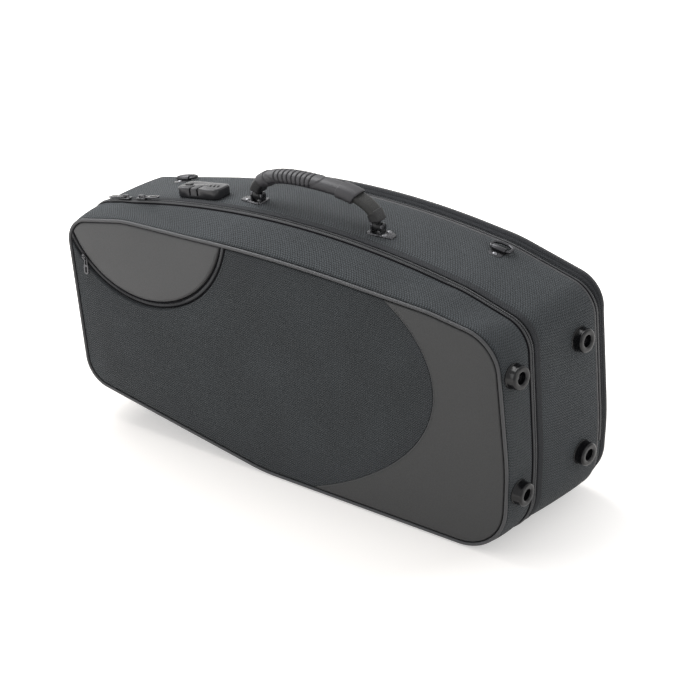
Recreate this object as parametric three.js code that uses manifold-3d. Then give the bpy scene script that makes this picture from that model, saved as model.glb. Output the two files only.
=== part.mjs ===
// Soft shaped case for an alto saxophone, standing on its long hinged side.
// Units are millimetres, +Z is up, the lid faces -Y and the big end points along +X.
// The case is drawn from its small end, its front piping and the floor, and is then moved so that
// the origin lies at the middle of the footprint of its bounding box.

import * as THREE from 'three';
import { mergeVertices } from 'three/addons/utils/BufferGeometryUtils.js';
import Module from 'manifold-3d';

const wasm = await Module();
wasm.setup();

// Driving dimensions of the body.
const caseLength = 609; // along the zip, from the small end to the big end
const caseHeight = 301; // zip outline at the crown of the top
const lidDepth = 51.5; // front piping to the zip
const baseDepth = 114; // zip to the back piping
const wallThickness = 10; // stiff board with its foam and cover
const seatGap = 0.3; // clearance between pieces that rest on each other
const partingGap = 0.6; // slit between lid and base along the zip
const cutOverrun = 4; // how far a cutting body runs past the faces that it cuts

// Radii that round the corners of the outline seen from the front.
const heelRadius = 200;
const lowBigRadius = 60;
const waistRadius = 400;
const frontHighBigRadius = 52;
const zipHighBigRadius = 38;
const backHighBigRadius = 42;
const shoulderRadius = 200;
const frontCrownRadius = 2500;
const zipCrownRadius = 1130;
const backCrownRadius = 1000;
const smallShoulderRadius = 150;
const highSmallRadius = 34;
const lowSmallRadius = 38;

// Corners of the outline, anticlockwise from the heel of the flat bottom, at the front piping,
// at the zip and at the back piping: shares of the length from the small end and of the height.
const frontCornerShares = [
  [0.460, 0.005], [0.993, 0.005], [0.995, 0.359], [0.962, 0.874], [0.821, 0.912],
  [0.493, 0.9385], [0.140, 0.905], [-0.005, 0.837], [0.032, 0.153],
];
const zipCornerShares = [
  [0.460, 0], [1, 0], [1, 0.365], [0.979, 0.864], [0.854, 0.940],
  [0.448, 1.0795], [0.072, 0.890], [-0.007, 0.847], [0.026, 0.150],
];
const backCornerShares = [
  [0.460, 0], [1.025, 0], [1.028, 0.332], [1.003, 0.870], [0.829, 0.962],
  [0.470, 1.0465], [0.099, 0.869], [-0.023, 0.810], [0.013, 0.146],
];
const cornerSteps = [2, 6, 2, 6, 3, 14, 3, 6, 5];
const roundingShare = 0.96; // of an edge, that its two roundings may take up

// Cover details.
const pipingRadius = 2.3;
const pipingSides = 6;
const panelThickness = 3;
const panelCrown = 2.6; // how far the padded front stands out in its middle
const panelCrownShares = [0.45, 0.72, 0.9, 1]; // rings of the padded front, from its middle
const seamGap = 1.2; // groove between two sewn panels
const backPanelThickness = 4.6;
const rearPocketDepth = 12;
const rearPocketCrown = 2;
const rearPocketStart = 162; // where the rear pocket begins, from the small end
const rearPocketInset = 3;
const rearCornerRadius = 42;
const rearEdgeShare = 0.7; // of the pocket's depth, up to where its sides turn inwards
const rearZipShare = 0.35; // of the pocket's depth, up to the middle of its zip
const rearCrownShare = 0.7; // of the pocket's face, inside which its crown is flat
// Window that trims the rear pocket, from its small end: shares of the length and of the height.
const rearWindowShares = [[0, 0.06], [0.9, -0.5], [0.9, 1.5], [0, 0.955]];

// Zips.
const tapeThickness = 0.8;
const baseTapeWidth = 15;
const lidTapeWidth = 6;
const chainWidth = 2.4; // one half of the closed chain
const chainHeight = 1.8;
const pocketZipWidth = 8;
const rearZipWidth = 4;

// Hinge tape under the case.
const hingeTapeWidth = 12;
const hingeTapeThickness = 1;
const hingeEndMargin = 24; // from each end of the flat bottom to the end of the tape

// Feet on the big end.
const footRadius = 14.5;
const footHeight = 13;
const footSkirt = 1.5; // straight edge on the case
const footTaper = 1; // how much narrower the foot is at its rim
const footRimRadius = 2.4;
const footHoleRadius = 6.5;
const footFloor = 3.5;
const screwRadius = 5;
const screwHeight = 2.4;
const screwSlotWidth = 1.2;
const footLow = 80; // height of the lower pair
const footHigh = 218; // height of the upper pair
const lidFootDepth = 21; // behind the front piping
const baseFootDepth = 134;

// Handle.
const handleCentre = 297.5; // from the small end
const handleDepth = 88; // behind the front piping
const handleSpan = 163; // between the middles of its two eyes
const handleRise = 34; // from the pins to the middle of the grip
const handleArchShare = 0.77; // exponent that squares the arch's shoulders
const gripLength = 132;
const gripShift = -10; // the grip sits towards the small end of the strap
const gripTall = 15;
const gripDeep = 21;
const gripCollarExtra = 1.6;
const gripCollarShort = 11;
const gripCollarLong = 24;
const ribCount = 9;
const ribPitch = 6;
const ribGrooveWidth = 2;
const ribGrooveDepth = 1.2;
const ribPlace = 24; // from the grip's end at the small end
const strapWidth = 15;
const strapThickness = 3;
const strapSlotClearance = 0.5;
const eyeLength = 9;
const eyeRadius = 5;
const pinRadius = 2;
const pinHeight = 8.5; // above the case
const runningGap = 0.4;
const lugThickness = 3;
const plateLength = 32;
const plateWidth = 25;
const plateThickness = 2.2;
const plateInset = 9.5; // from the middle of the eye to the inner edge of the plate
const rivetRadius = 3.2;
const rivetHeight = 1.6;

// Combination lock.
const lockCentre = 141;
const lockDepth = 84;
const lockLength = 60;
const lockWidth = 29;
const lockHeight = 12.5;
const lockEdgeRadius = 7;
const lockBevel = 1.4;
const lockSlotWidth = 2.4;
const lockSlotReach = 11;
const lockSlotPlace = 26; // middle of the two slots from the lock's left end
const lockSlotPitch = 11;
const dialCount = 3;
const dialRadius = 5.6;
const dialWidth = 3.4;
const dialPitch = 5.4;
const dialFlats = 10;
const dialPlace = 39.3; // middle of the first dial from the lock's left end
const dialAxleRadius = 1.2;
const dialAxleDrop = 4.7; // below the lock's top
const buttonLength = 9;
const buttonWidth = 6;
const buttonHeight = 3;
const buttonBevel = 0.5;
const buttonTravel = 2;
const buttonPlace = 9; // middle of the button from the lock's left end

// Shoulder strap rings.
const bigRingPlace = 502;
const smallRingPlace = 64;
const ringDepth = 143;
const ringWireRadius = 1.8;
const ringWireSides = 6;
const ringWidth = 28;
const ringReach = 17;
const clipWidth = 17;
const clipTongue = 13;
const clipThickness = 1.2;
const clipRivetRadius = 3;

// Zip sliders and their pulls.
const sliderLength = 15;
const sliderWidth = 9;
const sliderPlate = 1.6;
const bridgeHeight = 3.2;
const bridgeThickness = 1.1;
const bridgeWidth = 2.4;
const bridgeLength = 9;
const flangeClearance = 0.8; // above the tape, which leans more or less along the way
const pullLength = 26;
const pullWidth = 9;
const pullThickness = 1.4;
const pullBar = 1.3;
const pullRim = 2.7;
const pullNeckWidth = 6.4;
const leftSliderPlace = 50;
const rightSliderPlace = 74;
const rearSliderPlace = 186;
const smallSliderShare = 0.75; // pocket sliders against the main ones

// Inside.
const insertLip = 10; // how far the foam tray lies behind the zip
const insertGap = 1.2; // room round the edge of the tray and the lining
const trayFloor = 9; // foam under the saxophone
const liningThickness = 16;
const liningRecess = 9;
const neckPocketDepth = 60;
const mouthpiecePocketDepth = 46;
const pocketCornerRadius = 14;
const trayCornerRadius = 26;

// Seams on the front, as shares of the length and the height, and the arc of the pocket's zip.
const leatherSeamShares = [[0.698, 0.935], [0.917, 0.722], [0.891, 0.266], [0.524, -0.02]];
const pocketArcPlace = 109; // centre of the arc, from the small end
const pocketArcDrop = 6; // centre of the arc, below the top of the case
const pocketArcRadius = 120.5;
const pocketArcStart = 3.82; // angles are in radians
const pocketArcEnd = 6.13;

// Cavities of the foam tray, as shares of the length and the height.
const accessoryEnd = 0.515; // of the length, where the block with the two pockets ends
const accessoryLow = 0.445; // of the height, where that block begins
const bodyCavityShares = [
  [0.075, 0.235], [0.46, 0.085], [0.955, 0.085], [0.945, 0.790], [0.70, 0.865],
  [0.555, 0.865], [0.525, 0.43], [0.075, 0.43],
];
const neckPocketShares = [[0.085, 0.50], [0.33, 0.50], [0.33, 0.865], [0.085, 0.785]];
const mouthpiecePocketShares = [[0.36, 0.53], [0.49, 0.53], [0.49, 0.885], [0.36, 0.875]];
const lidRecessShares = [[0.33, 0.12], [0.93, 0.12], [0.92, 0.76], [0.33, 0.80]];

// Colours are those of the photograph's pieces.
const colours = {
  nylon: 0x2e3236, leather: 0x3d3c3c, piping: 0x55585c, tape: 0x24272b, chain: 0x191b1e,
  plush: 0x1d1f22, plastic: 0x1b1c1e, grip: 0x26272a, metal: 0x55575b, steel: 0x8b8d90,
};

function finish(colour, roughness, metalness) {
  return new THREE.MeshStandardMaterial({ color: colour, roughness, metalness });
}

const nylon = () => finish(colours.nylon, 0.9, 0);
const leather = () => finish(colours.leather, 0.55, 0);
const pipingFinish = () => finish(colours.piping, 0.5, 0);
const tape = () => finish(colours.tape, 0.85, 0);
const plush = () => finish(colours.plush, 1, 0);
const plastic = () => finish(colours.plastic, 0.35, 0);
const gripRubber = () => finish(colours.grip, 0.6, 0);
const darkMetal = () => finish(colours.metal, 0.35, 0.8);
const steel = () => finish(colours.steel, 0.3, 1);

const zipPlane = lidDepth;
const backPlane = lidDepth + baseDepth;
const faceStep = 2 * pipingRadius + seatGap; // room that a piping ring takes at a corner
const frontFace = faceStep;
const backFace = backPlane + pipingRadius - faceStep;
const halfSlit = partingGap / 2;

// Rounds a closed polygon. A rounding that would not fit its edges is limited by them.
function roundedOutline(corners, steps) {
  const count = corners.length;
  const at = (i) => corners[(i + count) % count].point;
  const edge = corners.map((_, i) => at(i + 1).clone().sub(at(i)));
  const turn = corners.map((_, i) => {
    const before = edge[(i - 1 + count) % count];
    return Math.atan2(before.cross(edge[i]), before.dot(edge[i]));
  });
  const wanted = corners.map((corner, i) => corner.radius * Math.tan(Math.abs(turn[i]) / 2));
  const room = (i) => {
    const here = (i + count) % count;
    return edge[here].length() / (wanted[here] + wanted[(i + 1) % count]);
  };
  const points = [];
  const arcs = [];
  for (let i = 0; i < count; i += 1) {
    const reach = wanted[i] * Math.min(1, roundingShare * room(i - 1), roundingShare * room(i));
    const before = edge[(i - 1 + count) % count].clone().normalize();
    const start = at(i).clone().addScaledVector(before, -reach);
    const side = new THREE.Vector2(-before.y, before.x).multiplyScalar(Math.sign(turn[i]));
    const radius = reach / Math.tan(Math.abs(turn[i]) / 2);
    const centre = start.clone().addScaledVector(side, radius);
    for (let k = 0; k <= steps[i]; k += 1) {
      points.push(start.clone().rotateAround(centre, (turn[i] * k) / steps[i]));
    }
    arcs.push({ centre, radius });
  }
  return { points, arcs };
}

function sectionOutline(shares, radii) {
  const corners = shares.map(([along, up], i) => ({
    point: new THREE.Vector2(along * caseLength, up * caseHeight),
    radius: radii[i],
  }));
  return roundedOutline(corners, cornerSteps);
}

const frontSection = sectionOutline(frontCornerShares, [
  heelRadius, lowBigRadius, waistRadius, frontHighBigRadius, shoulderRadius,
  frontCrownRadius, smallShoulderRadius, highSmallRadius, lowSmallRadius,
]);
const zipSection = sectionOutline(zipCornerShares, [
  heelRadius, lowBigRadius, waistRadius, zipHighBigRadius, shoulderRadius,
  zipCrownRadius, smallShoulderRadius, highSmallRadius, lowSmallRadius,
]);
const backSection = sectionOutline(backCornerShares, [
  heelRadius, lowBigRadius, waistRadius, backHighBigRadius, shoulderRadius,
  backCrownRadius, smallShoulderRadius, highSmallRadius, lowSmallRadius,
]);
const ringCount = zipSection.points.length;

// The skin of the case at a depth behind the front piping: straight between the three sections.
function skinPoints(y) {
  const lidSide = y <= zipPlane;
  const from = lidSide ? frontSection.points : zipSection.points;
  const to = lidSide ? zipSection.points : backSection.points;
  const share = lidSide ? y / zipPlane : (y - zipPlane) / baseDepth;
  return from.map((point, i) => point.clone().lerp(to[i], share));
}

// Moves a ring of plane points inwards; corners are mitred.
function insetPoints(points, inset) {
  const count = points.length;
  return points.map((point, i) => {
    const before = point.clone().sub(points[(i - 1 + count) % count]).normalize();
    const after = points[(i + 1) % count].clone().sub(point).normalize();
    const middle = before.clone().add(after).normalize();
    const inward = new THREE.Vector2(-middle.y, middle.x);
    return point.clone().addScaledVector(inward, inset / middle.dot(before));
  });
}

function ringAt(y, inset) {
  return insetPoints(skinPoints(y), inset).map((p) => new THREE.Vector3(p.x, y, p.y));
}

// Shrinks a ring towards the middle of its bounding box and sets it at another depth.
function shrunkRing(ring, share, y) {
  const box = new THREE.Box3().setFromPoints(ring);
  const middle = box.getCenter(new THREE.Vector3());
  return ring.map((p) => p.clone().lerp(middle, 1 - share).setY(y));
}

function geometryOf(positions, indices) {
  const geometry = new THREE.BufferGeometry();
  geometry.setAttribute('position', new THREE.Float32BufferAttribute(positions, 3));
  geometry.setIndex(indices);
  geometry.computeVertexNormals();
  return geometry;
}

// A closed body through rings of equal count, closed by a flat face at its first and last ring.
function loft(rings, closedLoop = false) {
  const count = rings[0].length;
  const positions = rings.flat().flatMap((p) => [p.x, p.y, p.z]);
  const indices = [];
  const last = closedLoop ? rings.length : rings.length - 1;
  for (let r = 0; r < last; r += 1) {
    const a = r * count;
    const b = ((r + 1) % rings.length) * count;
    for (let i = 0; i < count; i += 1) {
      const j = (i + 1) % count;
      indices.push(a + i, b + i, a + j, a + j, b + i, b + j);
    }
  }
  if (!closedLoop) {
    capFaces(rings[0]).forEach(([i, j, k]) => indices.push(i, j, k));
    const end = (rings.length - 1) * count;
    capFaces(rings[rings.length - 1]).forEach(([i, j, k]) => indices.push(end + k, end + j, end + i));
  }
  return geometryOf(positions, indices);
}

// Triangles that fill a ring, in the ring's own direction.
function capFaces(ring) {
  const normal = new THREE.Vector3();
  ring.forEach((p, i) => normal.add(p.clone().cross(ring[(i + 1) % ring.length])));
  const drop = ['x', 'y', 'z'].reduce((a, b) => (Math.abs(normal[a]) > Math.abs(normal[b]) ? a : b));
  const [u, v] = { x: ['y', 'z'], y: ['z', 'x'], z: ['x', 'y'] }[drop];
  const flat = ring.map((p) => new THREE.Vector2(p[u], p[v]));
  const forward = THREE.ShapeUtils.area(flat) > 0;
  const faces = THREE.ShapeUtils.triangulateShape(flat, []);
  return faces.map((face) => {
    const [a, b, c] = face.map((i) => flat[i]);
    const turnsLeft = b.clone().sub(a).cross(c.clone().sub(a)) > 0;
    return turnsLeft === forward ? face : [face[0], face[2], face[1]];
  });
}

function solidOf(geometry) {
  const bare = geometry.clone();
  bare.deleteAttribute('normal');
  bare.deleteAttribute('uv');
  const merged = mergeVertices(bare);
  return new wasm.Manifold(new wasm.Mesh({
    numProp: 3,
    vertProperties: new Float32Array(merged.attributes.position.array),
    triVerts: new Uint32Array(merged.index.array),
  }));
}

function geometryFrom(solid) {
  const mesh = solid.getMesh();
  return geometryOf(Array.from(mesh.vertProperties), Array.from(mesh.triVerts));
}

function cut(geometry, ...tools) {
  return geometryFrom(tools.reduce((solid, tool) => solid.subtract(solidOf(tool)), solidOf(geometry)));
}

function keep(geometry, tool) {
  return geometryFrom(solidOf(geometry).intersect(solidOf(tool)));
}

function join(...geometries) {
  return geometryFrom(geometries.map(solidOf).reduce((a, b) => a.add(b)));
}

function box(length, depth, height, x, y, z) {
  return new THREE.BoxGeometry(length, depth, height).translate(x, y, z);
}

// A plate that stands on the plane of its outline: the shape is drawn in X and Y.
function plate(shape, thickness, bevel = 0, curveSegments = 6) {
  const geometry = new THREE.ExtrudeGeometry(shape, {
    depth: thickness - 2 * bevel,
    bevelEnabled: bevel > 0,
    bevelThickness: bevel,
    bevelSize: bevel,
    bevelOffset: -bevel,
    bevelSegments: 1,
    curveSegments,
  });
  return geometry.translate(0, 0, bevel);
}

// A prism across the depth of the case over an outline that is drawn in X and Z.
function depthPrism(points, from, to) {
  const near = points.map((p) => new THREE.Vector3(p.x, from, p.y));
  const far = points.map((p) => new THREE.Vector3(p.x, to, p.y));
  return loft([near, far]);
}

function roundedRectangle(length, width, radius) {
  const shape = new THREE.Shape();
  const x = length / 2;
  const y = width / 2;
  shape.moveTo(-x + radius, -y).lineTo(x - radius, -y);
  shape.absarc(x - radius, -y + radius, radius, -Math.PI / 2, 0);
  shape.lineTo(x, y - radius).absarc(x - radius, y - radius, radius, 0, Math.PI / 2);
  shape.lineTo(-x + radius, y).absarc(-x + radius, y - radius, radius, Math.PI / 2, Math.PI);
  shape.lineTo(-x, -y + radius).absarc(-x + radius, -y + radius, radius, Math.PI, 1.5 * Math.PI);
  return shape;
}

function named(name, geometry, material) {
  const mesh = new THREE.Mesh(geometry, material);
  mesh.name = name;
  return mesh;
}

// A group that stands on the skin: its X runs along the outline, its Y along the depth, its Z out.
function seatOnSkin(y, axis, value, positive) {
  const ring = skinPoints(y);
  const deeper = skinPoints(y + seatGap);
  const middle = axis === 'x' ? caseHeight / 2 : caseLength / 2;
  const other = axis === 'x' ? 'y' : 'x';
  const key = axis === 'x' ? 'x' : 'y';
  const i = ring.findIndex((p, k) => {
    const q = ring[(k + 1) % ringCount];
    return (p[key] - value) * (q[key] - value) <= 0 && (p[other] > middle) === positive;
  });
  const j = (i + 1) % ringCount;
  const share = (value - ring[i][key]) / (ring[j][key] - ring[i][key]);
  const here = ring[i].clone().lerp(ring[j], share);
  const there = deeper[i].clone().lerp(deeper[j], share);
  const along = new THREE.Vector3(ring[i].x - ring[j].x, 0, ring[i].y - ring[j].y).normalize();
  const inwards = new THREE.Vector3(there.x - here.x, seatGap, there.y - here.y);
  const out = along.clone().cross(inwards).normalize();
  const depth = out.clone().cross(along);
  const group = new THREE.Group();
  group.position.set(here.x, y, here.y);
  group.quaternion.setFromRotationMatrix(new THREE.Matrix4().makeBasis(along, depth, out));
  return group;
}

const onTop = (x, y) => seatOnSkin(y, 'x', x, true);
const onBigEnd = (y, z) => seatOnSkin(y, 'y', z, true);

// Ring of a round cord that lies in a corner of the case, along the whole outline.
function pipingRing(y) {
  const centre = ringAt(y, pipingRadius);
  const skin = ringAt(y, 0);
  const rings = centre.map((p, i) => {
    const out = skin[i].clone().sub(p).normalize();
    return Array.from({ length: pipingSides }, (_, k) => {
      const angle = (-2 * Math.PI * k) / pipingSides;
      return p.clone().addScaledVector(out, pipingRadius * Math.cos(angle))
        .add(new THREE.Vector3(0, pipingRadius * Math.sin(angle), 0));
    });
  });
  return loft(rings, true);
}

// A band that lies on the skin between two places of the outline.
// The profile lists a depth and a height above the skin for each corner of its section.
function skinBand(from, to, profile) {
  const indices = Array.from({ length: to - from + 1 }, (_, k) => (from + k) % ringCount);
  const rows = profile.map(([y, height]) => ringAt(y, -height));
  return loft(indices.map((i) => rows.map((row) => row[i])));
}

function lidShell() {
  const rim = zipPlane - halfSlit;
  const shell = loft([
    ringAt(frontFace, faceStep), ringAt(frontFace, 0), ringAt(rim - lidTapeWidth, 0), ringAt(rim, 0),
    ringAt(rim, wallThickness), ringAt(frontFace + wallThickness, wallThickness),
  ]);
  return cut(shell, hingeRecess());
}

function baseShell() {
  const rim = zipPlane + halfSlit;
  const shell = loft([
    ringAt(backFace - wallThickness, wallThickness), ringAt(rim, wallThickness),
    ringAt(rim, 0), ringAt(backFace, 0), ringAt(backFace, faceStep),
  ]);
  return cut(shell, hingeRecess());
}

const flatBottomStart = zipSection.points[cornerSteps[0]].x;
const flatBottomEnd = zipSection.points[cornerSteps[0] + 1].x;
const hingeStart = flatBottomStart + hingeEndMargin;
const hingeEnd = flatBottomEnd - hingeEndMargin;

// Shallow step under both halves that the hinge tape lies in.
function hingeRecess() {
  const depth = hingeTapeThickness + seatGap;
  const length = hingeEnd - hingeStart + 2 * seatGap;
  const width = 2 * (hingeTapeWidth + seatGap);
  const height = depth + cutOverrun;
  return box(length, width, height, (hingeStart + hingeEnd) / 2, zipPlane, depth - height / 2);
}

function hingeTape(side) {
  const width = hingeTapeWidth - seatGap / 2;
  const y = zipPlane + side * (hingeTapeWidth + seatGap / 2) / 2;
  const middle = (hingeStart + hingeEnd) / 2;
  return box(hingeEnd - hingeStart, width, hingeTapeThickness, middle, y, hingeTapeThickness / 2);
}

const panelBack = frontFace - seatGap;
const panelEdge = panelBack - panelThickness;
const panelOutline = ringAt(pipingRadius, faceStep);
const onPanelPlane = (y) => panelOutline.map((p) => p.clone().setY(y));

// The padded front in one piece, before its seams divide it.
function paddedFront() {
  const outline = onPanelPlane(panelBack);
  const rise = (share) => shrunkRing(outline, share, panelEdge - panelCrown * (1 - share ** 2));
  return loft([...panelCrownShares.map(rise), outline]);
}

function leatherSeam() {
  const [a, b, c, d] = leatherSeamShares.map(([x, z]) => new THREE.Vector2(x * caseLength, z * caseHeight));
  return new THREE.CubicBezierCurve(a, b, c, d).getPoints(20);
}

// Everything on the big end's side of the leather seam, moved towards that end by an offset.
function leatherSide(offset) {
  const seam = leatherSeam();
  const far = caseLength + cutOverrun * 4;
  const moved = seam.map((p, i) => {
    const ahead = seam[Math.min(i + 1, seam.length - 1)].clone().sub(seam[Math.max(i - 1, 0)]).normalize();
    return p.clone().add(new THREE.Vector2(-ahead.y, ahead.x).multiplyScalar(offset));
  });
  const outline = [
    ...moved.reverse(), new THREE.Vector2(moved[moved.length - 1].x, caseHeight + cutOverrun),
    new THREE.Vector2(far, caseHeight + cutOverrun), new THREE.Vector2(far, -caseHeight / 2),
    new THREE.Vector2(moved[0].x, -caseHeight / 2),
  ];
  return depthPrism(anticlockwise(outline), -caseHeight / 2, zipPlane);
}

function anticlockwise(points) {
  return THREE.ShapeUtils.area(points) > 0 ? points : points.slice().reverse();
}

const pocketArcCentre = new THREE.Vector2(pocketArcPlace, caseHeight - pocketArcDrop);

// Everything on the upper side of the pocket's zip: a disc about the arc's centre.
function pocketDisc(offset) {
  const radius = pocketArcRadius + offset;
  const steps = 48;
  const outline = Array.from({ length: steps }, (_, k) => {
    const angle = (2 * Math.PI * k) / steps;
    return new THREE.Vector2(Math.cos(angle), Math.sin(angle)).multiplyScalar(radius).add(pocketArcCentre);
  });
  return depthPrism(outline, -caseHeight / 2, zipPlane);
}

function pocketFlap() {
  return keep(paddedFront(), pocketDisc(-pocketZipWidth / 2 - seatGap));
}

function pocketPanel() {
  return cut(paddedFront(), pocketDisc(pocketZipWidth / 2 + seatGap), leatherSide(-seamGap / 2));
}

function lidLeatherPanel() {
  return keep(paddedFront(), leatherSide(seamGap / 2));
}

// Part of a ring about the centre of the pocket's zip, from the back of the front's panels.
function pocketArcBand(width, face) {
  const steps = 20;
  const angles = Array.from({ length: steps + 1 }, (_, k) => (
    pocketArcStart + ((pocketArcEnd - pocketArcStart) * k) / steps
  ));
  const arc = (radius) => angles.map((angle) => (
    new THREE.Vector2(Math.cos(angle), Math.sin(angle)).multiplyScalar(radius).add(pocketArcCentre)
  ));
  const outline = [...arc(pocketArcRadius + width / 2), ...arc(pocketArcRadius - width / 2).reverse()];
  return depthPrism(anticlockwise(outline), face, panelBack);
}

// The pocket's zip is flat and lies in the groove between the flap and the panel.
const pocketTapeFace = panelEdge + chainHeight - tapeThickness;
const pocketChainFace = panelEdge - tapeThickness / 2;

function pocketZip() {
  const bed = pocketArcBand(pocketZipWidth, pocketTapeFace);
  const chain = pocketArcBand(chainWidth, pocketChainFace);
  const window = loft([onPanelPlane(pocketChainFace - cutOverrun), onPanelPlane(panelBack + cutOverrun)]);
  return keep(join(bed, chain), window);
}

// Half of the main zip: tape with its row of teeth at the slit, on one side of the parting plane.
const zipFrom = 5; // ring point above the foot of the big end, where the zip leaves the bottom
const zipTo = ringCount; // back at the heel of the sloping bottom

function zipHalf(side, width) {
  const rim = zipPlane + side * halfSlit;
  const profile = [
    [rim, seatGap], [rim, seatGap + chainHeight], [rim + side * chainWidth, seatGap + chainHeight],
    [rim + side * chainWidth, seatGap + tapeThickness], [rim + side * width, seatGap + tapeThickness],
    [rim + side * width, seatGap],
  ];
  return skinBand(zipFrom, zipTo, side > 0 ? profile.reverse() : profile);
}

function backPanel() {
  const near = backFace + seatGap;
  return loft([ringAt(near, faceStep), ringAt(near + backPanelThickness, faceStep)]);
}

const rearPocketFace = backFace + backPanelThickness + 2 * seatGap;

// Flat zipped pocket on the back; its small end stops short of the case's in a rounded edge.
function rearPocket() {
  const outline = ringAt(rearPocketFace, rearPocketInset);
  const edge = ringAt(rearPocketFace + rearEdgeShare * rearPocketDepth, rearPocketInset);
  const shoulder = ringAt(rearPocketFace + rearPocketDepth, 2 * rearPocketInset);
  const crown = rearPocketFace + rearPocketDepth + rearPocketCrown;
  const pocket = loft([outline, edge, shoulder, shrunkRing(shoulder, rearCrownShare, crown)]);
  const corners = rearWindowShares.map(([along, up]) => ({
    point: new THREE.Vector2(rearPocketStart + along * caseLength, up * caseHeight), radius: rearCornerRadius,
  }));
  const window = roundedOutline(corners, corners.map(() => 5)).points;
  return keep(pocket, depthPrism(window, zipPlane, 2 * backPlane));
}

const rearZipDepth = rearPocketFace + rearZipShare * rearPocketDepth;

function rearZip() {
  const skin = skinPoints(rearZipDepth);
  const inset = rearPocketInset - seatGap;
  const isOverPocket = (p) => p.x > rearPocketStart + sliderLength && p.y > caseHeight / 2;
  const last = skin.findLastIndex(isOverPocket);
  const from = cornerSteps[0] + cornerSteps[1] + 2;
  const y0 = rearZipDepth - rearZipWidth / 2;
  const y1 = rearZipDepth + rearZipWidth / 2;
  const profile = [[y1, -inset], [y1, tapeThickness - inset], [y0, tapeThickness - inset], [y0, -inset]];
  return skinBand(from, last, profile);
}

// A body of revolution about Z from a profile of radius and height.
function revolve(profile, segments) {
  const points = profile.map(([radius, height]) => new THREE.Vector2(radius, height));
  return new THREE.LatheGeometry(points, segments).rotateX(Math.PI / 2);
}

// Bumper foot with a rounded rim round a deep screw hole.
function foot() {
  const rim = (from, radius, sign) => [0, 1, 2, 3].map((k) => {
    const angle = (k * Math.PI) / 6;
    const height = footHeight - footRimRadius * (1 - (sign > 0 ? Math.sin(angle) : Math.cos(angle)));
    return [radius + from * footRimRadius * (sign > 0 ? Math.cos(angle) : Math.sin(angle)), height];
  });
  const outside = rim(1, footRadius - footTaper - footRimRadius, 1);
  const inside = rim(-1, footHoleRadius + footRimRadius, -1);
  return revolve([
    [0, 0], [footRadius, 0], [footRadius, footSkirt], ...outside, ...inside,
    [footHoleRadius, footFloor], [0, footFloor],
  ], 16);
}

function footScrew() {
  const head = revolve([
    [0, 0], [screwRadius, 0], [screwRadius, screwHeight * 0.5],
    [screwRadius * 0.8, screwHeight], [0, screwHeight],
  ], 12);
  const slotDepth = screwHeight * 0.4;
  const slot = box(
    2 * screwRadius + cutOverrun, screwSlotWidth, slotDepth + cutOverrun,
    0, 0, screwHeight - slotDepth + (slotDepth + cutOverrun) / 2,
  );
  return cut(head, slot);
}

function addFoot(parent, seat, name) {
  const bumper = named(`${name}_foot`, foot(), plastic());
  bumper.position.z = seatGap;
  const screw = named(`${name}_foot_screw`, footScrew(), steel());
  screw.position.z = footFloor + 2 * seatGap;
  seat.add(bumper, screw);
  parent.add(seat);
}

// Handle: places of its two pins, and the arch between them.
const eyePlaces = [handleCentre - handleSpan / 2, handleCentre + handleSpan / 2];
const plateSeats = eyePlaces.map((x) => onTop(x, handleDepth));
const pinCentres = plateSeats.map((seat) => {
  seat.updateMatrixWorld();
  return new THREE.Vector3(0, 0, pinHeight).applyMatrix4(seat.matrixWorld);
});
const handleMiddle = pinCentres[0].clone().lerp(pinCentres[1], 0.5);
const handleLine = pinCentres[1].clone().sub(pinCentres[0]);
const handleLean = -Math.atan2(handleLine.z, handleLine.x);

function archPoint(angle) {
  const bend = (value) => Math.sign(value) * Math.abs(value) ** handleArchShare;
  const half = handleLine.length() / 2;
  return new THREE.Vector3(half * bend(Math.cos(angle)), 0, handleRise * bend(Math.sin(angle)));
}

const archCurve = new THREE.CatmullRomCurve3(
  Array.from({ length: 49 }, (_, k) => archPoint(Math.PI * (1 - k / 48))),
);
const archLength = archCurve.getLength();

// A ring of the handle at a distance along the arch: the section lists depth and height.
function archRing(distance, section) {
  const share = distance / archLength;
  const middle = archCurve.getPointAt(share);
  const along = archCurve.getTangentAt(share);
  const up = new THREE.Vector3(-along.z, 0, along.x);
  return section.map(([depth, height]) => (
    middle.clone().addScaledVector(up, height).add(new THREE.Vector3(0, depth, 0))
  ));
}

function ovalSection(deep, tall) {
  const sides = 12;
  const soften = (value) => Math.sign(value) * Math.abs(value) ** 0.8;
  return Array.from({ length: sides }, (_, k) => {
    const angle = (-2 * Math.PI * (k + 0.5)) / sides;
    return [(deep / 2) * soften(Math.cos(angle)), (tall / 2) * soften(Math.sin(angle))];
  });
}

const boxSection = (deep, tall) => [
  [deep / 2, -tall / 2], [-deep / 2, -tall / 2], [-deep / 2, tall / 2], [deep / 2, tall / 2],
];

const gripStart = archLength / 2 + gripShift - gripLength / 2;

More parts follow.
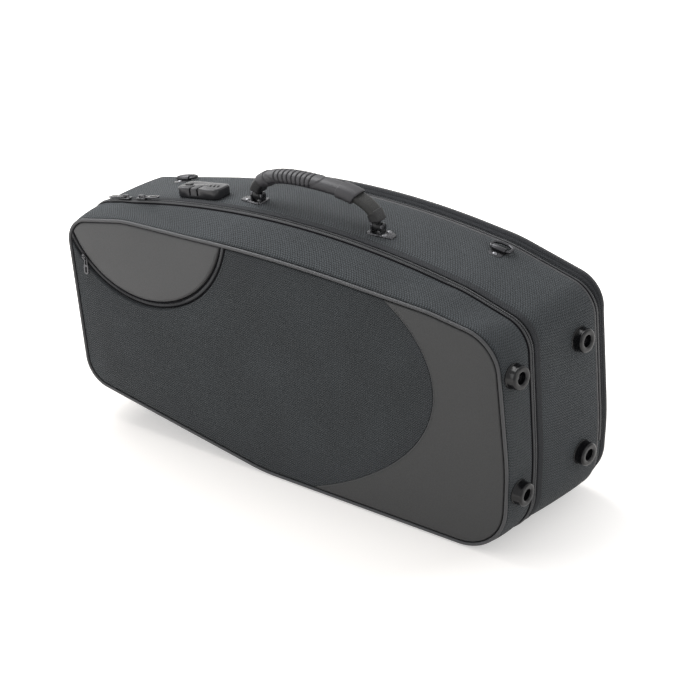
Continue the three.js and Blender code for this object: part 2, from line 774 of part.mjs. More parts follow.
// Moulded grip with a collar at each end and a row of finger ribs, on a slot for the strap.
function handleGrip() {
  const edge = gripCollarExtra;
  const ribs = Array.from({ length: ribCount }, (_, i) => {
    const start = ribPlace + i * ribPitch;
    return [[start, 0], [start + ribGrooveWidth / 2, -ribGrooveDepth], [start + ribGrooveWidth, 0]];
  }).flat();
  const stations = [
    [0, 0], [edge, gripCollarExtra], [gripCollarShort - edge, gripCollarExtra], [gripCollarShort, 0],
    ...ribs,
    [gripLength - gripCollarLong, 0], [gripLength - gripCollarLong + edge, gripCollarExtra],
    [gripLength - edge, gripCollarExtra], [gripLength, 0],
  ];
  const rings = stations.map(([along, extra]) => (
    archRing(gripStart + along, ovalSection(gripDeep + 2 * extra, gripTall + 2 * extra))
  ));
  const room = 2 * strapSlotClearance;
  const slotSection = boxSection(strapWidth + room, strapThickness + room);
  const slotSteps = 16;
  const slot = Array.from({ length: slotSteps + 1 }, (_, k) => (
    archRing(gripStart - cutOverrun + ((gripLength + 2 * cutOverrun) * k) / slotSteps, slotSection)
  ));
  return cut(loft(rings), loft(slot));
}

function eyeRod(radius, length, middle) {
  return new THREE.CylinderGeometry(radius, radius, length, 16).rotateZ(Math.PI / 2).translate(middle, 0, 0);
}

// Strap through the grip; each end narrows to an eye that turns on its pin.
function handleStrap() {
  const from = eyeRadius * 0.7;
  const steps = 24;
  const rings = Array.from({ length: steps + 1 }, (_, k) => {
    const distance = from + ((archLength - 2 * from) * k) / steps;
    const nearEnd = Math.min(distance, archLength - distance) / (handleRise / 2);
    const width = strapWidth * (0.55 + 0.45 * Math.min(1, nearEnd));
    return archRing(distance, boxSection(width, strapThickness));
  });
  const half = handleLine.length() / 2;
  const barrels = [-half, half].map((x) => eyeRod(eyeRadius, eyeLength, x));
  const bores = [-half, half].map((x) => eyeRod(pinRadius + runningGap, eyeLength + cutOverrun, x));
  return cut(join(loft(rings), ...barrels), ...bores);
}

function inHandleFrame(geometry) {
  return geometry.rotateY(handleLean).translate(handleMiddle.x, handleMiddle.y, handleMiddle.z);
}

const lugMiddle = eyeLength / 2 + runningGap + lugThickness / 2;
const plateUnderside = seatGap * 2;

// Rounded plate with two lugs that hold the pin of one end of the handle.
function anchorPlate(side) {
  const seat = plateSeats[side < 0 ? 0 : 1];
  const end = plateLength - plateInset;
  const corners = [
    [-plateInset, -plateWidth / 2], [end, -plateWidth / 4],
    [end, plateWidth / 4], [-plateInset, plateWidth / 2],
  ];
  const outline = corners.map(([x, y]) => ({
    point: new THREE.Vector2(x * side, y), radius: plateWidth / 5,
  }));
  if (side < 0) outline.reverse();
  const shape = new THREE.Shape(roundedOutline(outline, [4, 4, 4, 4]).points);
  const base = plate(shape, plateThickness, plateThickness / 4);
  base.translate(0, 0, plateUnderside).applyMatrix4(seat.matrixWorld);
  const half = (side * handleLine.length()) / 2;
  const lug = (offset) => {
    const drop = pinHeight - plateUnderside - plateThickness / 2;
    const head = eyeRod(eyeRadius, lugThickness, half + offset);
    return join(head, box(lugThickness, 2 * eyeRadius, drop, half + offset, 0, -drop / 2));
  };
  const lugs = join(lug(-lugMiddle), lug(lugMiddle));
  const bore = eyeRod(pinRadius + seatGap, 2 * (lugMiddle + lugThickness), half);
  return join(base, inHandleFrame(cut(lugs, bore)));
}

function anchorPin(side) {
  const length = 2 * (lugMiddle + lugThickness / 2);
  return inHandleFrame(eyeRod(pinRadius, length, (side * handleLine.length()) / 2));
}

function domeRivet(radius, height) {
  return revolve([
    [0, 0], [radius, 0], [radius * 0.9, height * 0.55], [radius * 0.55, height * 0.9], [0, height],
  ], 10);
}

// Lock: a moulded body with two slots for the tips of the zip pulls, three dials and a release button.
const lockBase = 2 * seatGap;
const lockLeft = -lockLength / 2;
const dialHeight = lockHeight - dialAxleDrop;
const dialMiddles = Array.from({ length: dialCount }, (_, i) => lockLeft + dialPlace + i * dialPitch);
const lockSlotMiddles = [lockSlotPlace - lockSlotPitch / 2, lockSlotPlace + lockSlotPitch / 2];

function lockBody() {
  const shape = roundedRectangle(lockLength, lockWidth, lockEdgeRadius);
  const body = plate(shape, lockHeight, lockBevel, 3);
  const slots = lockSlotMiddles.map((middle) => box(
    lockSlotWidth, lockSlotReach + cutOverrun, lockHeight,
    lockLeft + middle, (lockSlotReach - cutOverrun - lockWidth) / 2, lockHeight * 0.8,
  ));
  const dialPockets = dialMiddles.map((x) => (
    eyeRod(dialRadius + runningGap, dialWidth + 2 * runningGap, x).translate(0, 0, dialHeight)
  ));
  const axleBore = eyeRod(dialAxleRadius + seatGap, dialSpan() + 2 * seatGap, dialMiddles[1]);
  axleBore.translate(0, 0, dialHeight);
  const buttonPocket = box(
    buttonLength + 2 * runningGap, buttonWidth + 2 * runningGap, buttonHeight + buttonTravel + cutOverrun,
    lockLeft + buttonPlace, 0, lockHeight - (buttonHeight + buttonTravel - cutOverrun) / 2 + seatGap,
  );
  return cut(body, ...slots, ...dialPockets, axleBore, buttonPocket);
}

function dialSpan() {
  return (dialCount - 1) * dialPitch + dialWidth + 2 * (runningGap + dialAxleRadius);
}

function dial() {
  const rim = new THREE.Shape();
  for (let k = 0; k < 2 * dialFlats; k += 1) {
    const angle = (2 * Math.PI * k) / (2 * dialFlats);
    const radius = k % 2 ? dialRadius : dialRadius * 0.94;
    const point = [radius * Math.cos(angle), radius * Math.sin(angle)];
    if (k) rim.lineTo(...point); else rim.moveTo(...point);
  }
  rim.closePath();
  const bore = new THREE.Path().absarc(0, 0, dialAxleRadius + seatGap, 0, 2 * Math.PI, true);
  rim.holes.push(bore);
  return plate(rim, dialWidth).translate(0, 0, -dialWidth / 2).rotateY(Math.PI / 2);
}

function lockButton() {
  return plate(roundedRectangle(buttonLength, buttonWidth, buttonWidth / 4), buttonHeight, buttonBevel, 1);
}

// Ring for the shoulder strap: a closed loop of wire, flat on the case with its round side to the back.
const ringBarHeight = ringWireRadius + runningGap + clipThickness + 2 * seatGap;

function strapRing() {
  const half = ringWidth / 2 - ringWireRadius;
  const reach = ringReach - 2 * ringWireRadius;
  const corners = [
    [-half, 0], [half, 0], [half, reach * 0.75],
    [half * 0.4, reach], [-half * 0.4, reach], [-half, reach * 0.75],
  ];
  const outline = corners.map(([x, y]) => ({ point: new THREE.Vector2(x, y), radius: ringWireRadius * 1.6 }));
  const loop = roundedOutline(outline, [3, 3, 3, 3, 3, 3]).points;
  const rings = loop.map((p, i) => {
    const before = loop[(i - 1 + loop.length) % loop.length];
    const after = loop[(i + 1) % loop.length];
    const ahead = after.clone().sub(before).normalize();
    return Array.from({ length: ringWireSides }, (_, k) => {
      const angle = (2 * Math.PI * k) / ringWireSides;
      const side = ringWireRadius * Math.cos(angle);
      return new THREE.Vector3(p.x + ahead.y * side, p.y - ahead.x * side, ringWireRadius * Math.sin(angle));
    });
  });
  return loft(rings, true);
}

// Clip that folds round the ring's bar and ends in a riveted tongue in front of it.
function ringClip() {
  const inner = ringWireRadius + runningGap;
  const outer = inner + clipThickness;
  const length = clipWidth;
  const knuckle = new THREE.CylinderGeometry(outer, outer, length, 16).rotateZ(Math.PI / 2);
  const bore = new THREE.CylinderGeometry(inner, inner, length + cutOverrun, 16).rotateZ(Math.PI / 2);
  const corners = [[-length / 2, 0], [-length / 2, -clipTongue], [length / 2, -clipTongue], [length / 2, 0]];
  const radii = [0, length / 3, length / 3, 0];
  const outline = corners.map(([x, y], i) => ({ point: new THREE.Vector2(x, y), radius: radii[i] }));
  const shape = new THREE.Shape(roundedOutline(outline, [1, 5, 5, 1]).points);
  const tongue = plate(shape, clipThickness).translate(0, 0, -outer);
  return cut(join(knuckle, tongue), bore);
}

// Zip slider: a shield-shaped plate over the teeth, a flange beside them and a bridge for its pull.
const sliderUnderside = seatGap + chainHeight + seatGap;
const pullLift = sliderPlate + (bridgeHeight - bridgeThickness) / 2; // pull's bar above the underside

function slider(size = 1) {
  const corners = [
    [-sliderLength / 2, -sliderWidth * 0.3], [sliderLength / 2, -sliderWidth / 2],
    [sliderLength / 2, sliderWidth / 2], [-sliderLength / 2, sliderWidth * 0.3],
  ];
  const outline = corners.map(([x, y]) => ({ point: new THREE.Vector2(x, y), radius: sliderWidth / 4 }));
  const shape = new THREE.Shape(roundedOutline(outline, [3, 3, 3, 3]).points);
  const top = plate(shape, sliderPlate, sliderPlate / 4);
  const bridgeOuter = box(bridgeLength, bridgeWidth, bridgeHeight + bridgeThickness, 0, 0, pullLift);
  const bridgeInner = box(
    bridgeLength - 2 * bridgeThickness, bridgeWidth + cutOverrun, bridgeHeight - bridgeThickness,
    0, 0, pullLift,
  );
  return join(top, cut(bridgeOuter, bridgeInner)).scale(size, size, size);
}

// Beside the teeth on the base's side the main sliders reach down to the tape.
function mainSlider() {
  const flangeTop = sliderPlate / 2;
  const flangeBottom = tapeThickness + seatGap + flangeClearance - sliderUnderside;
  const inner = halfSlit + chainWidth + runningGap;
  const outer = sliderWidth / 2;
  const flange = box(
    sliderLength * 0.7, outer - inner, flangeTop - flangeBottom,
    0, (inner + outer) / 2, (flangeTop + flangeBottom) / 2,
  );
  return join(slider(), flange);
}

// Pull: a flat tab with a slot for the slider's bridge and a finger hole in its round end.
// Its bar lies on the origin and the tab points along +X.
function pull(size = 1) {
  const shape = new THREE.Shape();
  const neck = pullNeckWidth / 2;
  const wide = pullWidth / 2;
  const start = -pullBar / 2;
  const shoulder = pullLength * 0.45;
  const round = pullLength - wide;
  shape.moveTo(start, -neck).lineTo(shoulder - neck, -neck).lineTo(shoulder, -wide).lineTo(round, -wide);
  shape.absarc(round, 0, wide, -Math.PI / 2, Math.PI / 2);
  shape.lineTo(shoulder, wide).lineTo(shoulder - neck, neck).lineTo(start, neck);
  const slotHalf = bridgeWidth / 2 + runningGap;
  const slotEnd = pullBar / 2 + bridgeLength;
  const slot = new THREE.Path().moveTo(pullBar / 2, -slotHalf).lineTo(pullBar / 2, slotHalf);
  slot.lineTo(slotEnd, slotHalf).lineTo(slotEnd, -slotHalf);
  const holeHalf = wide - pullRim;
  const hole = new THREE.Path().moveTo(round, -holeHalf).lineTo(shoulder + pullBar, -holeHalf);
  hole.lineTo(shoulder + pullBar, holeHalf).lineTo(round, holeHalf);
  hole.absarc(round, 0, holeHalf, Math.PI / 2, -Math.PI / 2, true);
  shape.holes.push(slot, hole);
  return plate(shape, pullThickness).translate(0, 0, -pullThickness / 2).scale(size, size, size);
}

// Foam that fills the base, in three blocks, with hollows for the saxophone, its neck and its mouthpiece.
function shareOutline(shares, radius) {
  const corners = shares.map(([x, z]) => ({
    point: new THREE.Vector2(x * caseLength, z * caseHeight), radius,
  }));
  return roundedOutline(corners, corners.map(() => 5)).points;
}

const insertTop = zipPlane + insertLip;
const insertBottom = backFace - wallThickness - seatGap;
const insertInset = wallThickness + insertGap;
const blockBottom = insertBottom - trayFloor - seatGap;

// Foam in the outline of the case, from one depth to another, on every second point of the outline.
function foam(near, far) {
  return loft([near, far].map((y) => ringAt(y, insertInset).filter((_, i) => i % 2 === 0)));
}

const hollow = (shares, radius, near, far) => depthPrism(shareOutline(shares, radius), near, far);

// The corner of the tray above the body's hollow; the block there ends a gap short of its sides.
function accessoryCorner(gap) {
  const right = (accessoryEnd * caseLength) - gap;
  const low = accessoryLow * caseHeight + gap;
  const far = -caseLength;
  const outline = [[far, low], [right, low], [right, 2 * caseHeight], [far, 2 * caseHeight]];
  return depthPrism(outline.map(([x, z]) => new THREE.Vector2(x, z)), 0, backPlane);
}

function trayFloorBoard() {
  return foam(insertBottom - trayFloor, insertBottom);
}

function baseInsert() {
  const cavity = hollow(bodyCavityShares, trayCornerRadius, insertTop - cutOverrun, insertBottom);
  return cut(foam(insertTop, blockBottom), cavity, accessoryCorner(0));
}

function accessoryBlock() {
  return cut(
    keep(foam(insertTop, blockBottom), accessoryCorner(seatGap)),
    hollow(bodyCavityShares, trayCornerRadius, insertTop - cutOverrun, insertBottom),
    hollow(neckPocketShares, pocketCornerRadius, insertTop - cutOverrun, insertTop + neckPocketDepth),
    hollow(mouthpiecePocketShares, pocketCornerRadius, insertTop - cutOverrun, insertTop + mouthpiecePocketDepth),
  );
}

// Foam of the lid: a board, and a frame on it round the recess.
const liningNear = frontFace + wallThickness + seatGap;
const liningTop = liningNear + liningThickness;
const liningStep = liningTop - liningRecess;

function lidLining() {
  return foam(liningNear, liningStep);
}

function lidLiningFrame() {
  const near = liningStep + seatGap;
  const recess = hollow(lidRecessShares, trayCornerRadius, near - cutOverrun, liningTop + cutOverrun);
  return cut(foam(near, liningTop), recess);
}

function buildBase() {
  const group = new THREE.Group();
  group.add(
    named('base_shell', baseShell(), nylon()),
    named('base_insert', baseInsert(), plush()),
    named('tray_floor', trayFloorBoard(), plush()),
    named('accessory_block', accessoryBlock(), plush()),
    named('base_zip_tape', zipHalf(1, baseTapeWidth), tape()),
    named('base_hinge_tape', hingeTape(1), tape()),
    named('back_piping', pipingRing(backPlane), pipingFinish()),
    named('back_panel', backPanel(), nylon()),
    named('rear_pocket', rearPocket(), nylon()),
    named('rear_pocket_zip', rearZip(), tape()),
  );
  addFoot(group, onBigEnd(baseFootDepth, footHigh), 'base_upper');
  addFoot(group, onBigEnd(baseFootDepth, footLow), 'base_lower');
  return group;
}

function buildLid() {
  const group = new THREE.Group();
  group.add(
    named('lid_shell', lidShell(), nylon()),
    named('lid_lining', lidLining(), plush()),
    named('lid_lining_frame', lidLiningFrame(), plush()),
    named('lid_zip_tape', zipHalf(-1, lidTapeWidth), tape()),
    named('lid_hinge_tape', hingeTape(-1), tape()),
    named('lid_piping', pipingRing(pipingRadius), pipingFinish()),
    named('pocket_panel', pocketPanel(), nylon()),
    named('pocket_flap', pocketFlap(), leather()),
    named('lid_leather_panel', lidLeatherPanel(), leather()),
    named('pocket_zip', pocketZip(), tape()),
  );
  addFoot(group, onBigEnd(lidFootDepth, footHigh), 'lid_upper');
  addFoot(group, onBigEnd(lidFootDepth, footLow), 'lid_lower');
  return group;
}

function buildHandle() {
  const group = new THREE.Group();
  const handle = new THREE.Group();
  handle.position.copy(handleMiddle);
  handle.rotation.y = handleLean;
  handle.add(named('handle_grip', handleGrip(), gripRubber()), named('handle_strap', handleStrap(), tape()));
  group.add(handle);
  [[-1, 'left'], [1, 'right']].forEach(([side, word], i) => {
    group.add(named(`anchor_plate_${word}`, anchorPlate(side), darkMetal()));
    group.add(named(`anchor_pin_${word}`, anchorPin(side), steel()));
    const seat = onTop(eyePlaces[i], handleDepth);
    [-1, 1].forEach((row) => {
      const rivetName = `anchor_rivet_${word}_${row < 0 ? 'front' : 'back'}`;
      const rivet = named(rivetName, domeRivet(rivetRadius, rivetHeight), steel());
      const reach = lugMiddle + lugThickness / 2 + rivetRadius * 1.3;
      rivet.position.set(side * reach, row * plateWidth * 0.2, plateUnderside + plateThickness + seatGap);
      seat.add(rivet);
    });
    group.add(seat);
  });
  return group;
}

function buildLock() {
  const seat = onTop(lockCentre, lockDepth);
  const lock = new THREE.Group();
  lock.position.z = lockBase;
  lock.add(named('lock_body', lockBody(), darkMetal()));
  dialMiddles.forEach((x, i) => {
    const wheel = named(`lock_dial_${i + 1}`, dial(), plastic());
    wheel.position.set(x, 0, dialHeight);
    lock.add(wheel);
  });
  const axle = named('lock_dial_axle', eyeRod(dialAxleRadius, dialSpan(), 0), steel());
  axle.position.set(dialMiddles[1], 0, dialHeight);
  const button = named('lock_button', lockButton(), plastic());
  button.position.set(lockLeft + buttonPlace, 0, lockHeight - buttonHeight + buttonTravel / 2);
  lock.add(axle, button);
  seat.add(lock);
  return seat;
}

function buildRing(x, word) {
  const seat = onTop(x, ringDepth);
  const clip = named(`ring_clip_${word}`, ringClip(), darkMetal());
  const ring = named(`strap_ring_${word}`, strapRing(), darkMetal());
  clip.position.z = ringBarHeight;
  ring.position.z = ringBarHeight;
  const rivet = named(`ring_clip_rivet_${word}`, domeRivet(clipRivetRadius, rivetHeight), steel());
  rivet.position.set(0, -clipTongue * 0.66, clipThickness + 3 * seatGap);
  seat.add(clip, ring, rivet);
  return seat;
}

// A slider with its pull, on a seat whose Z points out of the case and whose X follows the zip.
function addSlider(seat, name, lift, turnedBack) {
  const body = named(`${name}_slider`, mainSlider(), darkMetal());
  body.position.z = lift;
  const tab = named(`${name}_pull`, pull(), darkMetal());
  tab.position.z = lift + pullLift;
  if (turnedBack) tab.rotation.z = Math.PI;
  seat.add(body, tab);
  return seat;
}

function buildRearSlider() {
  const seat = onTop(rearSliderPlace, rearZipDepth);
  const body = named('rear_pocket_slider', slider(smallSliderShare), darkMetal());
  const lift = tapeThickness + seatGap * 2 - rearPocketInset;
  body.position.z = lift;
  const tab = named('rear_pocket_pull', pull(smallSliderShare), darkMetal());
  tab.position.z = lift + smallSliderShare * pullLift;
  seat.add(body, tab);
  return seat;
}

// The pocket's slider stands at the outer end of its arc. Its pull hangs straight down from the
// lower post of the bridge, with its bar above that post.
function buildPocketSlider() {
  const group = new THREE.Group();
  const size = smallSliderShare;
  const angle = pocketArcStart + sliderLength / pocketArcRadius;
  const radial = new THREE.Vector3(Math.cos(angle), 0, Math.sin(angle));
  const ahead = new THREE.Vector3(-Math.sin(angle), 0, Math.cos(angle));
  const out = new THREE.Vector3(0, -1, 0);
  const down = new THREE.Vector3(0, 0, -1);
  const body = named('front_pocket_slider', slider(size), darkMetal());
  body.position.set(pocketArcCentre.x, pocketChainFace - seatGap, pocketArcCentre.y);
  body.position.addScaledVector(radial, pocketArcRadius);
  const inwards = radial.clone().negate();
  body.quaternion.setFromRotationMatrix(new THREE.Matrix4().makeBasis(ahead, inwards, out));
  const tab = named('front_pocket_pull', pull(size), darkMetal());
  const postReach = Math.hypot(bridgeThickness, bridgeWidth) / 2 + runningGap / 2;
  tab.position.copy(body.position)
    .addScaledVector(ahead, (size * (bridgeLength - bridgeThickness)) / 2)
    .addScaledVector(down, -size * (postReach + pullBar / 2))
    .addScaledVector(out, size * pullLift);
  tab.quaternion.setFromRotationMatrix(new THREE.Matrix4().makeBasis(down, new THREE.Vector3(1, 0, 0), out));
  group.add(body, tab);
  return group;
}

const saxophoneCase = new THREE.Group();
saxophoneCase.add(
  buildBase(),
  buildLid(),
  buildHandle(),
  buildLock(),
  buildRing(smallRingPlace, 'left'),
  buildRing(bigRingPlace, 'right'),
  addSlider(onTop(leftSliderPlace, zipPlane), 'main_left', sliderUnderside, true),
  addSlider(onTop(rightSliderPlace, zipPlane), 'main_right', sliderUnderside, false),
  buildRearSlider(),
  buildPocketSlider(),
);
saxophoneCase.updateMatrixWorld(true);
const bounds = new THREE.Box3().setFromObject(saxophoneCase, true);
const middle = bounds.getCenter(new THREE.Vector3());
saxophoneCase.position.set(-middle.x, -middle.y, -bounds.min.z);

const part = new THREE.Group();
part.add(saxophoneCase);

export default part;
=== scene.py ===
# Soft shaped case for an alto saxophone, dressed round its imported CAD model.
# It stands on its long hinged side. Units are metres, +Z is up and the lid faces -Y.
import math

import bmesh
import bpy
import numpy as np
from mathutils import Matrix, Vector
from mathutils.geometry import delaunay_2d_cdt


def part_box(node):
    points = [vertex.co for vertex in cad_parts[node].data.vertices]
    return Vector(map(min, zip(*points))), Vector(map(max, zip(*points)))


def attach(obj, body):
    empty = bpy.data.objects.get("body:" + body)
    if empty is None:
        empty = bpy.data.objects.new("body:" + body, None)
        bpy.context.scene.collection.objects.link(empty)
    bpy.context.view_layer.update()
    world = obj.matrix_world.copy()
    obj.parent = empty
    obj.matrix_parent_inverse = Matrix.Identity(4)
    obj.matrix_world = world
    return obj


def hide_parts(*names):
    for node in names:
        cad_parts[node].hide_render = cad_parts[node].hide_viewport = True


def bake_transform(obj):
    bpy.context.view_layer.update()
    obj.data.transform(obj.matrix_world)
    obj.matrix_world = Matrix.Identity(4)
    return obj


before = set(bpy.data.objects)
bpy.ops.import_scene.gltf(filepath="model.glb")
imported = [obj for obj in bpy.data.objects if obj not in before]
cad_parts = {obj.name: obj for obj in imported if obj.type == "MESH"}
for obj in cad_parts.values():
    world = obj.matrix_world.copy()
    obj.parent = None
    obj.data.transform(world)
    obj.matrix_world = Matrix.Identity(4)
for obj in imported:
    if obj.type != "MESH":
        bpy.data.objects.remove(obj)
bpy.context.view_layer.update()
mm = 0.001

# Camera and studio.
# The camera was fitted to the edges of the case in the photograph. A large softbox hangs over the
# case, with paler ones beside it, and the floor is a pale sheet that keeps the case's shadow.
camera_yaw, camera_pitch, camera_roll = (math.radians(a) for a in (34.3, 28.0, 0.1))
camera_place = Vector((1.2855, -1.8427, 1.328))
focal_length_pixels, picture_pixels, sensor_width = 2203, 700, 36

forward = Vector((
    -math.sin(camera_yaw) * math.cos(camera_pitch),
    math.cos(camera_yaw) * math.cos(camera_pitch),
    -math.sin(camera_pitch),
))
camera_data = bpy.data.cameras.new("camera")
camera_data.sensor_width = sensor_width
camera_data.lens = focal_length_pixels / picture_pixels * sensor_width
bpy.context.scene.view_settings.view_transform = "Standard"


def placed(name, data):
    """A new object of the scene, made from its data."""
    obj = bpy.data.objects.new(name, data)
    bpy.context.scene.collection.objects.link(obj)
    return obj


def looking(name, data, place, gaze, roll=0.0):
    """An object at a place that looks along a gaze, rolled about it by an angle."""
    obj = placed(name, data)
    obj.location = place
    obj.rotation_mode = "QUATERNION"
    upright = gaze.to_track_quat("-Z", "Y")
    obj.rotation_quaternion = upright @ Matrix.Rotation(roll, 3, "Z").to_quaternion()
    return obj


bpy.context.scene.camera = looking("camera", camera_data, camera_place, forward, camera_roll)


def softbox(name, place, aim, size, power):
    """A square lamp at a place, turned to look at a point."""
    lamp = bpy.data.lights.new(name, "AREA")
    lamp.shape, lamp.size, lamp.energy = "SQUARE", size, power
    looking(name, lamp, place, Vector(aim) - Vector(place))


softbox("top_softbox", (-1.15, 0.3, 1.6), (-0.15, 0, 0.2), 1.4, 33)
softbox("front_softbox", (-1.35, -1.15, 0.8), (-0.15, 0, 0.15), 1.2, 9.5)
softbox("side_softbox", (2.6, -0.2, 1.2), (0.2, 0, 0.15), 1.6, 12)


def node(tree, kind, inputs=(), **settings):
    """Adds a shader node of a kind; its inputs take values or other nodes' outputs."""
    made = tree.nodes.new("ShaderNode" + kind)
    for name, value in settings.items():
        setattr(made, name, value)
    for name, value in dict(inputs).items():
        if isinstance(value, bpy.types.NodeSocket):
            tree.links.new(value, made.inputs[name])
        else:
            made.inputs[name].default_value = value
    return made


def maths(tree, operation, a, b=0.0):
    """The output of a Math node on one or two values."""
    return node(tree, "Math", {0: a, 1: b}, operation=operation).outputs[0]


def emptied(owner):
    """The shader tree of a material or of the world, with nothing in it yet."""
    owner.use_nodes = True
    owner.node_tree.nodes.clear()
    return owner.node_tree


def seen_directly(tree):
    """One for rays from the camera and for glossy and transmitted ones, else zero."""
    ray = node(tree, "LightPath").outputs
    either = maths(tree, "MAXIMUM", ray["Is Glossy Ray"], ray["Is Transmission Ray"])
    return maths(tree, "MAXIMUM", ray["Is Camera Ray"], either)


sky_level = 0.5
world = bpy.data.worlds.new("studio")
sky = emptied(world)
strength = maths(sky, "MAXIMUM", seen_directly(sky), sky_level)
glow = node(sky, "Background", {"Color": (1, 1, 1, 1), "Strength": strength})
node(sky, "OutputWorld", {"Surface": glow.outputs[0]})
bpy.context.scene.world = world

floor_reach, floor_colour, floor_lift = 6.0, (0.74, 0.71, 0.68), 0.42
# The sheet's glow for the camera is weaker near the case, rising from the floor's lift at the nearer
# distance to full at the farther one: painted shade on the floor round the case.
shade_near, shade_far = 0.27, 0.50  # the sheet glows fully from the farther distance on
floor_mesh = bpy.data.meshes.new("floor")
corners = [(x * floor_reach, y * floor_reach, 0) for x, y in ((-1, -1), (1, -1), (1, 1), (-1, 1))]
floor_mesh.from_pydata(corners, [], [(0, 1, 2, 3)])
floor_sheet = bpy.data.materials.new("pale_sheet")
sheet = emptied(floor_sheet)
sheet_colour = node(sheet, "BsdfDiffuse", {"Color": (*floor_colour, 1)}).outputs[0]
place = node(sheet, "TexCoord").outputs["Object"]
from_middle = node(sheet, "VectorMath", {0: place}, operation="LENGTH").outputs["Value"]
limits = {0: from_middle, 1: shade_near, 2: shade_far, 3: floor_lift, 4: 1.0}
glow_dimmed_near_case = node(sheet, "MapRange", limits).outputs[0]
lift = maths(sheet, "MULTIPLY", seen_directly(sheet), glow_dimmed_near_case)
sheet_glow = node(sheet, "Emission", {"Strength": lift}).outputs[0]
both = node(sheet, "AddShader", {0: sheet_colour, 1: sheet_glow}).outputs[0]
node(sheet, "OutputMaterial", {"Surface": both})
floor_mesh.materials.append(floor_sheet)
floor = placed("floor", floor_mesh)

# Outline of the case.
# The sewn cover is a skin drawn tight over a board body, whose outline has rounded corners. The
# outline changes from the front piping to the zip and on to the back piping.
case_length, case_height = 609 * mm, 301 * mm
lid_depth, base_depth = 51.5 * mm, 114 * mm
rounding_share = 0.96
corner_radii = {
    "front": np.array([200, 60, 400, 52, 200, 2500, 150, 34, 38]) * mm,
    "zip": np.array([200, 60, 400, 38, 200, 1130, 150, 34, 38]) * mm,
    "back": np.array([200, 60, 400, 42, 200, 1000, 150, 34, 38]) * mm,
}
corner_shares = {
    "front": [(0.460, 0.005), (0.993, 0.005), (0.995, 0.359), (0.962, 0.874), (0.821, 0.912),
              (0.493, 0.9385), (0.140, 0.905), (-0.005, 0.837), (0.032, 0.153)],
    "zip": [(0.460, 0), (1, 0), (1, 0.365), (0.979, 0.864), (0.854, 0.940),
            (0.448, 1.0795), (0.072, 0.890), (-0.007, 0.847), (0.026, 0.150)],
    "back": [(0.460, 0), (1.025, 0), (1.028, 0.332), (1.003, 0.870), (0.829, 0.962),
             (0.470, 1.0465), (0.099, 0.869), (-0.023, 0.810), (0.013, 0.146)],
}
arc_steps = np.array([2, 6, 2, 6, 3, 14, 3, 6, 5])
straight_steps = np.array([20, 12, 10, 8, 8, 6, 6, 16, 18])


def unit(vectors):
    """Vectors divided by their own lengths."""
    return vectors / np.linalg.norm(vectors, axis=-1, keepdims=True)


def rounded(corners, radii, arcs, straights):
    """Points round a polygon. At each corner the arc starts before it by the radius times the tangent
    of half the turn, or by less on a short edge; it turns about a centre one radius to the side.
    Between arcs the points divide the straight evenly. One radius serves for all corners, too."""
    radii = np.full(len(corners), radii)
    edge = np.roll(corners, -1, 0) - corners
    before = np.roll(edge, 1, 0)
    turn = np.arctan2(before[:, 0] * edge[:, 1] - before[:, 1] * edge[:, 0], (before * edge).sum(1))
    tangent = np.tan(np.abs(turn) / 2)
    wanted = radii * tangent
    room = rounding_share * np.linalg.norm(edge, axis=1) / (wanted + np.roll(wanted, -1))
    reach = wanted * np.minimum(1, np.minimum(np.roll(room, 1), room))
    along = unit(before)
    start = corners - along * reach[:, None]
    side = np.stack([-along[:, 1], along[:, 0]], 1) * np.sign(turn)[:, None]
    centre = start + side * (reach / tangent)[:, None]
    stretches = []
    for i, steps in enumerate(arcs):
        angle = turn[i] * np.arange(steps + 1) / steps
        spoke = start[i] - centre[i]
        arc = centre[i] + np.stack([
            spoke[0] * np.cos(angle) - spoke[1] * np.sin(angle),
            spoke[0] * np.sin(angle) + spoke[1] * np.cos(angle),
        ], 1)
        following = start[(i + 1) % len(corners)]
        share = np.arange(1, straights[i])[:, None] / straights[i]
        stretches += [arc, arc[-1] * (1 - share) + following * share]
    return np.concatenate(stretches)


def section(name, arcs, straights):
    """One of the three outlines of the case, in its own plane of X and Z."""
    corners = np.array(corner_shares[name]) * (case_length, case_height)
    return rounded(corners, corner_radii[name], arcs, straights)


front_section, zip_section, back_section = (
    section(name, 4 * arc_steps, straight_steps) for name in ("front", "zip", "back")
)
hinge_end_margin = 24 * mm
flat_bottom = zip_section[4 * arc_steps[0]], zip_section[4 * arc_steps[0] + straight_steps[0]]
parting_half = 0.3 * mm
case_shift = np.array([
    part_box("base_hinge_tape")[0].x - flat_bottom[0][0] - hinge_end_margin,
    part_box("base_shell")[0].y - lid_depth - parting_half,
    0,
])


def between(sections, depths):
    """Outlines at depths behind the front piping: the three sections joined by straight lines."""
    front, middle, back = sections
    y = np.asarray(depths, float)[:, None, None]
    lid = front + (middle - front) * y / lid_depth
    base = middle + (back - middle) * (y - lid_depth) / base_depth
    return np.where(y <= lid_depth, lid, base)


def skin(depths):
    return between((front_section, zip_section, back_section), depths)


def offset(points, heights):
    """Closed outlines moved outwards by one height, or by one for each point, along the bisector of
    the edges at each point."""
    before = unit(points - np.roll(points, 1, -2))
    middle = unit(before + np.roll(before, -1, -2))
    outward = np.stack([middle[..., 1], -middle[..., 0]], -1)
    return points + outward * (heights / (middle * before).sum(-1))[..., None]


def angles(count):
    """Angles evenly round a circle."""
    return np.arange(count) * 2 * np.pi / count


def wheel(angle):
    """The plane's points at one from its origin, at angles."""
    return np.stack([np.cos(angle), np.sin(angle)], -1)


def in_case(plane, depths):
    """Plane points at depths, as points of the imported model, none of them under the floor."""
    y = np.broadcast_to(np.asarray(depths, float), plane.shape[:-1])
    points = np.stack([plane[..., 0], y, np.maximum(plane[..., 1], 0)], -1)
    return points + case_shift


def rings(profile):
    """Rings round the case for a profile of depths and heights over the skin."""
    depths, heights = np.asarray(profile, float).T
    plane = offset(skin(depths), heights[:, None])
    return in_case(plane, depths[:, None])


